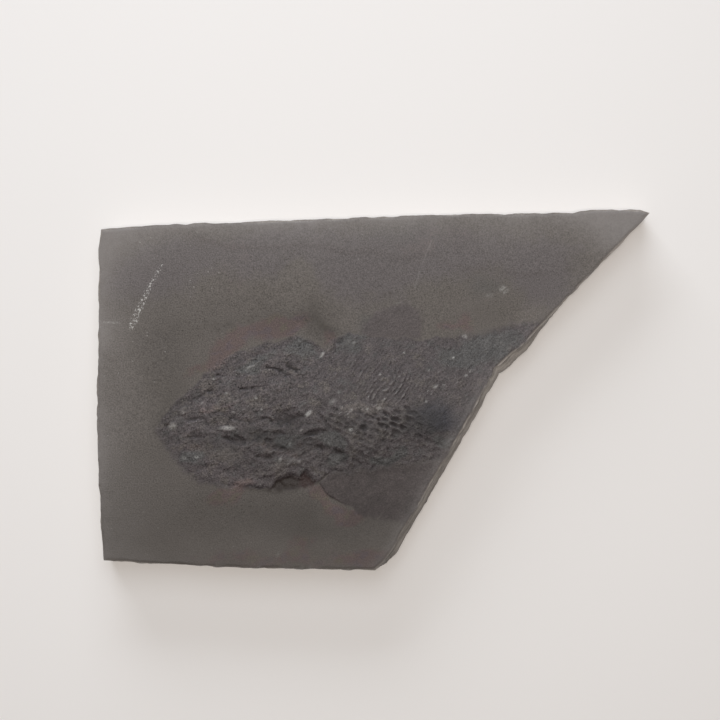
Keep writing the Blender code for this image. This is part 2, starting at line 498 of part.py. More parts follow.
def ordered_rim(mesh):
    """The open edge's vertices in order, anticlockwise seen from above."""
    start = min((vert for vert in mesh.verts if vert.is_boundary), key=lambda vert: vert.co.y)
    ring, last, here = [start], None, start
    while True:
        beside = [edge.other_vert(here) for edge in here.link_edges if edge.is_boundary]
        onward = max(beside, key=lambda vert: vert.co.x) if last is None else next(
            vert for vert in beside if vert is not last)
        if onward is start:
            return ring
        ring.append(onward)
        last, here = here, onward


def outward_normals(x, y):
    """Unit normals of a closed anticlockwise ring, evened out over a few neighbours."""
    along_x = np.roll(x, -NORMAL_REACH) - np.roll(x, NORMAL_REACH)
    along_y = np.roll(y, -NORMAL_REACH) - np.roll(y, NORMAL_REACH)
    size = np.hypot(along_x, along_y)
    return along_y / size, -along_x / size


def draw_down(mesh, edges, ring):
    """Extrudes an open edge by one ring. Returns its new edges, and its vertices in the old order."""
    order = {vert: index for index, vert in enumerate(ring)}
    made = bmesh.ops.extrude_edge_only(mesh, edges=edges)["geom"]
    new_verts = {item for item in made if isinstance(item, bmesh.types.BMVert)}
    new_ring = [None] * len(ring)
    for vert in new_verts:
        beside = (edge.other_vert(vert) for edge in vert.link_edges)
        new_ring[next(order[other] for other in beside if other in order)] = vert
    new_edges = [item for item in made
                 if isinstance(item, bmesh.types.BMEdge) and set(item.verts) <= new_verts]
    return new_edges, new_ring


def add_broken_sides(mesh):
    """The beds of the broken side, drawn down from the rim one ring at a time, and the underside."""
    ring = ordered_rim(mesh)
    x, y, z = np.array([vert.co for vert in ring]).T / MM
    normal_x, normal_y = outward_normals(x, y)
    run = np.concatenate(([0.0], np.cumsum(np.hypot(np.diff(x), np.diff(y)))))
    share_up = (y - BREAK_EDGE[0][1]) / (BREAK_EDGE[-1][1] - BREAK_EDGE[0][1])
    on_break = line_distance(x, y, BREAK_EDGE) < 2.0 * EDGE_NIBBLE
    slope_run = np.where(on_break, np.interp(share_up, *zip(*BREAK_RUN)), 0.0)
    ledge_top = np.where(on_break, BREAK_SLOPE_DEPTH, 0.0)
    corners = (LEFT_EDGE[0], LEFT_EDGE[-1], BREAK_EDGE[0], BREAK_EDGE[-1])
    from_corner = np.minimum.reduce([np.hypot(x - at_x, y - at_y) for at_x, at_y in corners])
    reach = LEDGE_REACH * smoothstep(0.0, LEDGE_FREE_CORNER, from_corner)

    edges = [edge for edge in mesh.edges if edge.is_boundary]
    for bed, (top, bottom) in enumerate(zip(BED_ENDS, BED_ENDS[1:])):
        row = np.full(len(run), BED_SHIFT * bed)
        ledge = LEDGE_SHARES[0] * lumps("long ledges", run, row)
        ledge += LEDGE_SHARES[1] * lumps("short ledges", run, row)
        for depth in (top + BED_STEP, bottom):
            out = reach * (ledge - LEDGE_INSET) * smoothstep(ledge_top, ledge_top + LEDGE_START, depth)
            out += slope_run * smoothstep(0.0, BREAK_SLOPE_DEPTH, depth)
            out -= FOOT_TUCK * smoothstep(PLATE_THICKNESS - FOOT_HEIGHT, PLATE_THICKNESS, depth)
            level = z * (1.0 - depth / PLATE_THICKNESS)
            if depth == BED_ENDS[-1]:
                level -= BASE_SPARE
            edges, ring = draw_down(mesh, edges, ring)
            places = np.column_stack((x + normal_x * out, y + normal_y * out, level)) * MM
            for vert, place in zip(ring, places):
                vert.co = place
    bmesh.ops.contextual_create(mesh, geom=edges)


def centre_and_size(mesh):
    """Brings the mesh to its stated length and width, with its middle over the origin."""
    places = np.array([vert.co for vert in mesh.verts])
    low, high = places.min(axis=0), places.max(axis=0)
    target = np.array((PLATE_LENGTH, PLATE_WIDTH)) * MM
    factor = np.append(target / (high - low)[:2], 1.0)
    middle = np.append((low + high)[:2] / 2.0, 0.0)
    for vert, place in zip(mesh.verts, (places - middle) * factor):
        vert.co = place


def stone_material():
    """Dark grey shale with a faint sheen."""
    material = bpy.data.materials.new("dark_shale")
    material.use_nodes = True
    shader = material.node_tree.nodes["Principled BSDF"]
    shader.inputs["Base Color"].default_value = STONE_COLOUR
    shader.inputs["Roughness"].default_value = STONE_ROUGHNESS
    shader.inputs["Metallic"].default_value = 0.0
    return material


def add_object(name, mesh, group):
    """Puts a finished bmesh in a collection as an object of its own."""
    data = bpy.data.meshes.new(name)
    mesh.to_mesh(data)
    mesh.free()
    made = bpy.data.objects.new(name, data)
    group.objects.link(made)
    return made


def base_cutter(cutters):
    """A block whose top is the plane that the slab rests on."""
    length, width = CUTTER_MARGIN * PLATE_LENGTH * MM, CUTTER_MARGIN * PLATE_WIDTH * MM
    depth = CUTTER_DEPTH * MM
    mesh = bmesh.new()
    bmesh.ops.create_cube(mesh, size=1.0)
    bmesh.ops.scale(mesh, verts=mesh.verts, vec=(length, width, depth))
    bmesh.ops.translate(mesh, verts=mesh.verts, vec=(0.0, 0.0, -depth / 2.0))
    cutter = add_object("base_cut", mesh, cutters)
    cutter.hide_render = True
    cutter.display_type = "WIRE"
    return cutter


def build_plate(parts, cutters):
    """The slab: upper face and sides, thinned to few triangles, then cut flat at the base."""
    mesh = upper_face()
    add_broken_sides(mesh)
    centre_and_size(mesh)
    bmesh.ops.recalc_face_normals(mesh, faces=mesh.faces)
    bmesh.ops.triangulate(mesh, faces=mesh.faces)
    full_count = len(mesh.faces)
    plate = add_object("fossil_plate", mesh, parts)
    plate.data.materials.append(stone_material())

    thin = plate.modifiers.new("few_triangles", "DECIMATE")
    thin.ratio = TRIANGLES / full_count
    base = plate.modifiers.new("flat_base", "BOOLEAN")
    base.operation = "DIFFERENCE"
    base.solver = "EXACT"
    base.object = base_cutter(cutters)


def collection(name):
    """A new collection of the scene."""
    made = bpy.data.collections.new(name)
    bpy.context.scene.collection.children.link(made)
    return made


def main():
    """Clears the scene and builds the plate."""
    for old in list(bpy.data.objects):
        bpy.data.objects.remove(old, do_unlink=True)
    build_plate(collection("fossil_fish_plate"), collection("cutters"))


if __name__ == "__main__":
    main()
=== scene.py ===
"""Looks of the fossil fish plate: one slab of split dark shale with a fish pressed into its face.

The slab lies flat with the fossil up. +X runs along its long edge to the sharp corner, +Y is across
it, and the head of the fish is at -X. Shapes are worked out in millimetres and written in metres.
"""

from __future__ import annotations

import logging
from dataclasses import dataclass, field, replace
from enum import Enum
from math import cos, pi, radians, sin
from typing import Union

import bpy
import numpy as np
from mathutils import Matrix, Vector


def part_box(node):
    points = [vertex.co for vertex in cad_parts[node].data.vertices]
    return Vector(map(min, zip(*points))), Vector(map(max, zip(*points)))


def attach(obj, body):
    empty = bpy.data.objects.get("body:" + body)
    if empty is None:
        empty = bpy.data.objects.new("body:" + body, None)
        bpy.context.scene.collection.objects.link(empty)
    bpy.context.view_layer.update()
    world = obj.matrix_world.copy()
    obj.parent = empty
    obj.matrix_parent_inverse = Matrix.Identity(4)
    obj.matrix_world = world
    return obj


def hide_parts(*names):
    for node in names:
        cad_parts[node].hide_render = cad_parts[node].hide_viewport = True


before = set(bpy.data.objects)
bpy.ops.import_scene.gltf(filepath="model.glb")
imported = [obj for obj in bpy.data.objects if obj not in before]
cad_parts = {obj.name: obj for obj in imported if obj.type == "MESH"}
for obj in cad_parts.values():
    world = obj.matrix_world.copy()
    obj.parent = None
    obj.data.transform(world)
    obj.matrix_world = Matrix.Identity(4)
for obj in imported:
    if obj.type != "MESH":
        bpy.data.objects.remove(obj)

MM = 0.001
NODE = "fossil_plate"
NOISE_TABLE = 64

Array = np.ndarray
Points = tuple[tuple[float, float], ...]
Colour = tuple[float, float, float]
Point = tuple[float, float, float]
Spot = tuple[float, float]

log = logging.getLogger("fossil_fish_plate")

# The four edges of the upper face
LEFT_EDGE: Points = (
    (-83.0, -52.5), (-83.9, -43.0), (-84.2, -34.0), (-84.9, -18.5), (-85.0, -8.0),
    (-85.0, 0.0), (-84.7, 15.0), (-84.5, 28.0), (-84.5, 43.0), (-83.8, 49.6),
)
TOP_EDGE: Points = (
    (-83.8, 49.6), (-70.0, 50.7), (-53.0, 51.4), (-22.5, 52.5), (8.0, 53.6), (24.0, 54.2),
    (51.5, 54.5), (61.0, 54.6), (66.5, 55.4), (73.0, 55.7), (82.0, 55.5), (84.9, 54.7),
)
BOTTOM_EDGE: Points = (
    (-83.0, -52.5), (-68.5, -53.5), (-53.5, -54.2), (-38.0, -54.8), (-22.5, -55.1),
    (-7.0, -55.4), (0.3, -55.6),
)
BREAK_EDGE: Points = (
    (0.3, -55.6), (3.4, -52.6), (6.0, -49.0), (12.8, -37.0), (20.0, -24.8), (25.2, -15.8),
    (30.4, -6.6), (34.6, 1.8), (37.2, 6.6), (41.8, 10.6), (46.0, 14.2), (50.8, 19.2),
    (56.2, 24.8), (65.0, 34.0), (74.0, 43.2), (81.5, 50.8), (84.9, 54.7),
)
# How far the slanted break runs out past its rim, by the share of the way up the slab
BREAK_RUN: Points = (
    (0.00, 0.3), (0.05, 1.8), (0.45, 1.7), (0.50, 1.8), (0.54, 2.2), (0.59, 2.4), (0.63, 2.2),
    (0.68, 1.0), (0.74, 0.2), (1.00, 0.0),
)

# Outlines on the bedding plane. The right-hand ends lie past the break, which cuts the fish off.
FISH_OUTLINE: Points = (
    (-67.1, -12.3), (-65.6, -9.2), (-62.5, -4.9), (-57.9, -0.6), (-53.3, 4.3), (-48.7, 8.6),
    (-42.5, 11.7), (-34.8, 14.5), (-28.6, 16.0), (-24.0, 16.9), (-19.4, 16.0), (-15.1, 13.6),
    (-11.7, 16.0), (-7.1, 17.9), (-2.5, 16.6), (15.1, 16.3), (23.7, 16.9), (33.0, 17.6),
    (39.1, 19.4), (45.3, 20.9), (57.6, 22.2), (60.0, 0.0), (33.0, -22.2), (20.6, -22.5),
    (9.9, -23.1), (6.8, -24.0), (-0.9, -25.3), (-7.1, -25.9), (-13.2, -25.9), (-17.6, -29.0),
    (-25.6, -30.8), (-34.2, -30.8), (-41.0, -30.2), (-53.3, -29.6), (-56.4, -27.1),
    (-60.1, -23.4), (-63.1, -19.1), (-66.2, -15.4),
)
BACK_FIN_OUTLINE: Points = (
    (-4.0, 15.0), (-3.4, 20.3), (0.6, 24.3), (4.6, 26.5), (9.9, 26.8), (12.9, 25.9),
    (14.8, 24.0), (15.4, 15.0),
)
BELLY_FIN_OUTLINE: Points = (
    (-16.9, -28.6), (-14.8, -31.7), (-11.7, -34.2), (-7.7, -35.7), (-3.4, -38.5), (3.7, -40.0),
    (10.8, -40.3), (22.0, -43.1), (33.0, -21.0), (9.9, -21.0), (-7.1, -24.0), (-13.2, -25.0),
)
HOLLOW_OUTLINE: Points = (
    (-32.3, -31.0), (-31.4, -29.6), (-29.9, -28.0), (-27.7, -26.9), (-25.3, -26.3),
    (-22.5, -26.2), (-20.9, -25.4), (-19.7, -26.2), (-18.5, -27.4), (-17.2, -27.1),
    (-17.6, -27.9), (-19.7, -29.3), (-22.5, -30.0), (-26.2, -30.8), (-30.2, -31.2),
)


def smoothstep(low: Union[float, Array], high: Union[float, Array], value: Array) -> Array:
    """0 below low, 1 above high, and an even curve between them.

    Args:
        low: Where the curve leaves 0.
        high: Where it reaches 1. It may be below low, for a falling curve.
        value: The values to map.

    Returns:
        The mapped values.
    """
    t = np.clip((value - low) / (high - low), 0.0, 1.0)
    return t * t * (3.0 - 2.0 * t)


def turned(x: Array, y: Array, degrees: float) -> tuple[Array, Array]:
    """The same places in axes turned by an angle."""
    c, s = cos(radians(degrees)), sin(radians(degrees))
    return x * c + y * s, y * c - x * s


def line_distance(x: Array, y: Array, points: Points) -> Array:
    """Distance from each place to a line of straight stretches.

    Args:
        x: Places along X.
        y: Places along Y.
        points: The line's corners.

    Returns:
        The distances.
    """
    nearest = np.full(np.shape(x), np.inf)
    for (ax, ay), (bx, by) in zip(points, points[1:]):
        dx, dy = bx - ax, by - ay
        t = np.clip(((x - ax) * dx + (y - ay) * dy) / (dx * dx + dy * dy), 0.0, 1.0)
        nearest = np.minimum(nearest, np.hypot(x - ax - t * dx, y - ay - t * dy))
    return nearest


def depth_inside(x: Array, y: Array, outline: Points) -> Array:
    """Distance in from a closed outline, negative outside it.

    Args:
        x: Places along X.
        y: Places along Y.
        outline: The outline's corners, without the first one repeated.

    Returns:
        The distances.
    """
    closed = outline + outline[:1]
    inside = np.zeros(np.shape(x), bool)
    for (ax, ay), (bx, by) in zip(closed, closed[1:]):
        if ay != by:
            inside ^= ((ay > y) != (by > y)) & (x < ax + (y - ay) * (bx - ax) / (by - ay))
    return np.where(inside, 1.0, -1.0) * line_distance(x, y, closed)


@dataclass(frozen=True)
class Lumps:
    """A field of smooth lumps between -1 and 1.

    Attributes:
        cell: Size of a lump.
        seed: Seed of its heights.
    """

    cell: float
    seed: int

    def at(self, x: Array, y: Array) -> Array:
        """The field's value at each place."""
        table = np.random.default_rng(self.seed).uniform(-1.0, 1.0, (NOISE_TABLE, NOISE_TABLE))
        column, row = np.floor(x / self.cell).astype(int), np.floor(y / self.cell).astype(int)
        across = smoothstep(0.0, 1.0, x / self.cell - column)
        along = smoothstep(0.0, 1.0, y / self.cell - row)
        low, high = row % NOISE_TABLE, (row + 1) % NOISE_TABLE
        left, right = column % NOISE_TABLE, (column + 1) % NOISE_TABLE
        near = table[low, left] * (1.0 - across) + table[low, right] * across
        far = table[high, left] * (1.0 - across) + table[high, right] * across
        return near * (1.0 - along) + far * along


@dataclass(frozen=True)
class BrokenPlates:
    """Broken plates, one to a cell, each at its own height and tilt, within about -1 and 1.

    Attributes:
        cell: Width of a plate.
        seed: Seed of the plates' places, heights and tilts.
        sharpness: How abruptly one plate gives way to the next.
    """

    cell: float
    seed: int
    sharpness: float = 9.0

    def at(self, x: Array, y: Array) -> Array:
        """The plates' height at each place."""
        shape = (5, NOISE_TABLE, NOISE_TABLE)
        table = np.random.default_rng(self.seed).uniform(-1.0, 1.0, shape)
        column, row = np.floor(x / self.cell).astype(int), np.floor(y / self.cell).astype(int)
        total, height = np.zeros(np.shape(x)), np.zeros(np.shape(x))
        for step_x in (-1, 0, 1):
            for step_y in (-1, 0, 1):
                here_x, here_y = column + step_x, row + step_y
                own = table[:, here_y % NOISE_TABLE, here_x % NOISE_TABLE]
                off_x = x / self.cell - here_x - 0.5 - 0.4 * own[0]
                off_y = y / self.cell - here_y - 0.5 - 0.4 * own[1]
                weight = np.exp(-self.sharpness * (off_x * off_x + off_y * off_y))
                height += weight * (0.6 * own[2] + 0.9 * (own[3] * off_x + own[4] * off_y))
                total += weight
        return height / total


@dataclass(frozen=True)
class ScaleRows:
    """A slanting lattice of scales.

    Attributes:
        turns: Degrees from +X of a scale's two edges.
        seed: Seed of the level of each scale.
        length: Length of a scale along the body.
        width: Width of a scale along its slanting row.
    """

    turns: tuple[float, float]
    seed: int
    length: float = 3.5
    width: float = 2.1

    def at(self, x: Array, y: Array) -> tuple[Array, Array, Array]:
        """Place within a scale, from 0 to 1 along both of its edges, and the scale's own level."""
        (long_x, long_y), (row_x, row_y) = ((cos(radians(t)), sin(radians(t))) for t in self.turns)
        spread = long_x * row_y - long_y * row_x
        along = (x * row_y - y * row_x) / spread / self.length
        across = (long_x * y - long_y * x) / spread / self.width
        column, row = np.floor(along).astype(int), np.floor(across).astype(int)
        table = np.random.default_rng(self.seed).uniform(-1.0, 1.0, (NOISE_TABLE, NOISE_TABLE))
        return along - column, across - row, table[row % NOISE_TABLE, column % NOISE_TABLE]


@dataclass(frozen=True)
class Patch:
    """A soft elliptical patch.

    Attributes:
        x: Its middle along X.
        y: Its middle along Y.
        half_length: Half its length.
        half_width: Half its width.
        turn: Degrees from +X of its length.
        strength: Its value in the middle, which may be negative.
    """

    x: float
    y: float
    half_length: float
    half_width: float
    turn: float
    strength: float

    def at(self, x: Array, y: Array) -> Array:
        """The patch's value at each place."""
        u, v = turned(x - self.x, y - self.y, self.turn)
        away = (u / self.half_length) ** 2 + (v / self.half_width) ** 2
        return self.strength * np.exp(-1.2 * away**1.5)

    def grown(self, factor: float) -> "Patch":
        """The same patch, longer and wider by a factor."""
        return replace(self, half_length=self.half_length * factor, half_width=self.half_width * factor)


@dataclass(frozen=True)
class Seam:
    """A groove between two bones.

    Attributes:
        half_width: Half its width.
        depth: Its depth.
        points: The line it follows.
    """

    half_width: float
    depth: float
    points: Points

    def at(self, x: Array, y: Array) -> Array:
        """The groove's share of the relief at each place."""
        return -self.depth * np.exp(-((line_distance(x, y, self.points) / self.half_width) ** 2))


def evened(height: Array, reach: int) -> Array:
    """A map of heights evened out over a square window, twice.

    Args:
        height: The map.
        reach: How many steps the window goes to each side.

    Returns:
        The evened map.
    """
    for axis in (0, 1, 0, 1):
        padding = [(0, 0), (0, 0)]
        padding[axis] = (reach + 1, reach)
        run = np.cumsum(np.pad(height, padding, mode="edge"), axis=axis)
        width = 2 * reach + 1
        height = (np.take(run, range(width, run.shape[axis]), axis)
                  - np.take(run, range(run.shape[axis] - width), axis)) / width
    return height


def added(parts: tuple, x: Array, y: Array) -> Array:
    """The sum of several patches or seams at each place."""
    return sum((part.at(x, y) for part in parts), np.zeros(np.shape(x)))


SEAMS = (
    Seam(0.40, 0.55, ((-66.4, -11.1), (-65.3, -9.2), (-63.8, -7.4), (-62.5, -6.2))),
    Seam(0.35, 0.45, ((-64.7, -11.7), (-62.5, -11.1))),
    Seam(0.38, 0.50, ((-62.5, -5.9), (-60.7, -4.6), (-59.1, -4.0))),
    Seam(0.42, 0.55, ((-56.4, -3.1), (-53.9, -1.8), (-52.1, -0.6), (-49.6, 0.6))),
    Seam(0.42, 0.55, ((-50.2, 1.2), (-47.7, 1.8), (-45.9, 2.8))),
    Seam(0.48, 0.65, ((-48.0, 4.6), (-45.3, 5.2))),
    Seam(0.35, 0.50, ((-59.4, -9.5), (-56.4, -8.6), (-53.6, -8.9), (-51.4, -9.9), (-48.4, -9.9))),
    Seam(0.35, 0.50, ((-45.9, -9.9), (-43.4, -8.9), (-39.4, -9.2), (-36.0, -9.7))),
    Seam(0.42, 0.75, ((-36.0, -9.5), (-34.0, -8.7), (-32.6, -8.9), (-31.4, -9.6))),
    Seam(0.45, 1.00, ((-40.3, 0.0), (-37.6, 0.5))),
    Seam(0.32, 0.40, ((-37.6, 0.5), (-34.2, 1.2), (-32.3, 1.8))),
    Seam(0.30, 0.45, ((-57.0, -14.8), (-54.8, -14.5), (-52.4, -14.8))),
    Seam(0.40, 0.50, ((-48.6, -14.2), (-45.6, -14.5), (-43.4, -15.4))),
    Seam(0.40, 0.60, ((-42.5, -13.2), (-40.9, -14.8), (-40.0, -15.4))),
    Seam(0.42, 0.65, ((-32.6, 6.5), (-30.2, 6.2), (-27.7, 5.2), (-25.9, 4.3))),
    Seam(0.50, 0.65, ((-26.5, 7.4), (-24.6, 6.2), (-23.1, 5.9))),
    Seam(0.35, 0.50, ((-22.8, 8.6), (-21.3, 9.2), (-19.4, 8.9))),
    Seam(0.45, 0.60, ((-37.9, -19.1), (-35.4, -20.3))),
    Seam(0.35, 0.40, ((-35.4, -3.4), (-33.0, -3.7))),
    Seam(0.35, 0.45, ((-64.1, -16.9), (-61.9, -16.3), (-60.1, -15.7))),
    Seam(0.40, 0.45, ((-56.4, -25.6), (-54.5, -25.0))),
    Seam(0.45, 0.50, ((-46.5, -28.6), (-43.4, -29.3), (-41.6, -28.6))),
    Seam(0.40, 0.45, ((-37.9, -29.3), (-34.2, -29.9))),
    Seam(0.35, 0.50, ((-28.6, -17.2), (-26.8, -17.9))),
    Seam(0.45, 0.60, ((-16.9, -17.2), (-15.7, -18.5))),
    Seam(0.50, 0.60, ((-11.4, -17.9), (-8.6, -19.1))),
    Seam(0.40, 0.50, ((-20.6, -21.6), (-19.6, -23.4), (-18.6, -24.6))),
    Seam(0.40, 0.55, ((-16.3, 10.2), (-15.4, 11.1))),
    Seam(0.45, 0.45, ((-21.3, 14.8), (-19.4, 14.2), (-16.9, 13.9))),
    Seam(0.50, 0.60, ((-13.2, 12.3), (-11.7, 14.2), (-9.9, 15.4))),
    Seam(0.35, 0.40, ((-16.0, -8.0), (-14.0, -10.6), (-12.6, -13.0))),
)
# The deep pits of the flank, between pale ridges
FLANK_PITS = (
    Patch(0.4, -7.3, 1.3, 0.52, -22.0, 0.83),
    Patch(3.8, -7.1, 1.5, 0.60, -22.0, 0.92),
    Patch(7.4, -6.5, 1.4, 0.56, -18.0, 0.83),
    Patch(12.1, -6.9, 1.9, 0.60, -14.0, 0.92),
    Patch(15.8, -6.5, 1.6, 0.64, -10.0, 0.92),
    Patch(3.4, -9.0, 1.1, 0.48, -22.0, 0.83),
    Patch(6.8, -8.8, 1.8, 0.64, -22.0, 1.01),
    Patch(11.0, -8.9, 1.6, 0.80, -30.0, 0.92),
    Patch(14.5, -8.7, 1.5, 0.76, -25.0, 0.92),
    Patch(-4.9, -8.6, 1.3, 0.48, -20.0, 0.64),
    Patch(-1.8, -8.4, 1.0, 0.48, -20.0, 0.55),
    Patch(-8.0, -10.3, 1.0, 0.60, -20.0, 0.74),
    Patch(-3.1, -11.5, 1.2, 0.88, 0.0, 1.01),
    Patch(2.2, -10.8, 1.3, 0.56, -25.0, 0.83),
    Patch(4.3, -11.4, 1.1, 0.56, -25.0, 0.74),
    Patch(6.3, -10.6, 1.5, 0.64, -28.0, 1.01),
    Patch(8.8, -11.5, 1.2, 0.76, -30.0, 0.92),
    Patch(13.9, -10.6, 1.4, 0.60, -30.0, 0.83),
    Patch(-4.6, -13.3, 1.2, 0.45, -10.0, 0.74),
    Patch(-0.6, -14.8, 1.3, 0.56, 15.0, 0.83),
    Patch(1.4, -12.9, 1.3, 0.45, -25.0, 0.64),
    Patch(7.0, -13.0, 1.5, 0.64, -28.0, 0.83),
    Patch(10.6, -13.6, 1.3, 0.48, -32.0, 0.55),
    Patch(4.8, -17.8, 2.1, 0.72, -12.0, 0.83),
    Patch(-0.4, -18.2, 1.1, 0.60, -20.0, 0.74),
    Patch(-4.2, -17.6, 1.3, 0.48, -20.0, 0.64),
    Patch(-10.4, -18.8, 1.5, 0.72, -35.0, 0.83),
    Patch(8.2, -21.6, 2.1, 0.84, -10.0, 0.74),
    Patch(12.2, -22.2, 1.6, 0.64, -15.0, 0.64),
    Patch(16.0, -22.0, 2.1, 0.72, 5.0, 0.55),
    Patch(18.6, -7.9, 1.3, 0.55, -14.0, 0.70),
    Patch(21.4, -7.2, 1.2, 0.50, -12.0, 0.50),
    Patch(17.0, -10.2, 1.2, 0.55, -28.0, 0.70),
    Patch(10.2, -10.4, 1.1, 0.50, -28.0, 0.60),
    Patch(12.2, -12.2, 1.2, 0.50, -30.0, 0.60),
    Patch(16.2, -13.2, 1.3, 0.55, -30.0, 0.50),
    Patch(-6.4, -7.0, 1.0, 0.50, -20.0, 0.60),
    Patch(-9.4, -8.4, 1.1, 0.50, -20.0, 0.60),
    Patch(-7.2, -12.6, 1.1, 0.55, -15.0, 0.70),
    Patch(3.0, -15.0, 1.3, 0.55, -25.0, 0.60),
    Patch(7.6, -15.6, 1.3, 0.55, -25.0, 0.60),
    Patch(12.4, -16.4, 1.4, 0.60, -25.0, 0.55),
)
BONES = (
    Patch(-25.9, -9.0, 5.0, 2.5, -6.0, -1.10),
    Patch(-42.6, -15.6, 3.4, 1.1, -12.0, -0.80),
    Patch(-33.6, -20.3, 2.4, 1.2, 4.0, -0.85),
    Patch(-18.5, -13.1, 3.9, 1.0, 7.0, -0.85),
    Patch(-20.6, -15.2, 1.6, 0.8, 12.0, -0.60),
    Patch(-29.4, -13.2, 1.9, 0.7, -4.0, -0.65),
    Patch(-32.0, -15.7, 1.1, 0.6, 0.0, -0.60),
    Patch(-28.3, -18.0, 2.0, 0.7, -10.0, -0.50),
    Patch(-16.6, -17.7, 1.2, 0.8, -20.0, -0.60),
    Patch(-10.4, -19.0, 1.7, 0.7, -30.0, -0.55),
    Patch(-64.0, -14.6, 1.2, 0.8, 0.0, -0.50),
    Patch(-44.6, -11.6, 2.5, 0.8, 0.0, 0.45),
    Patch(-61.6, -11.2, 1.4, 1.0, 35.0, 0.65),
    Patch(-59.6, -7.1, 3.6, 1.7, 38.0, 0.40),
    Patch(-41.0, -4.6, 7.5, 3.0, 6.0, 0.40),
    Patch(-48.7, -22.2, 9.0, 5.0, -8.0, 0.45),
    Patch(-35.4, 9.2, 8.0, 2.8, 22.0, 0.35),
    Patch(-24.6, -22.6, 6.0, 3.0, 12.0, 0.85),
    Patch(-28.6, -21.2, 1.3, 0.9, 60.0, 0.45),
    Patch(-20.0, -7.0, 1.5, 0.7, 45.0, 0.45),
    Patch(-15.7, -7.7, 2.2, 1.6, 30.0, 0.35),
    Patch(-15.7, 11.0, 1.1, 0.6, 55.0, 0.45),
    Patch(-24.0, 11.6, 4.6, 2.4, -8.0, 0.35),
)


# The even bone below the jaw
GULAR = Patch(-48.0, -22.5, 15.0, 8.0, -8.0, 1.0)
# The bluish black, smooth place on the flank
DARK_FLANK = Patch(20.0, -9.3, 8.0, 5.0, -10.0, 1.0)


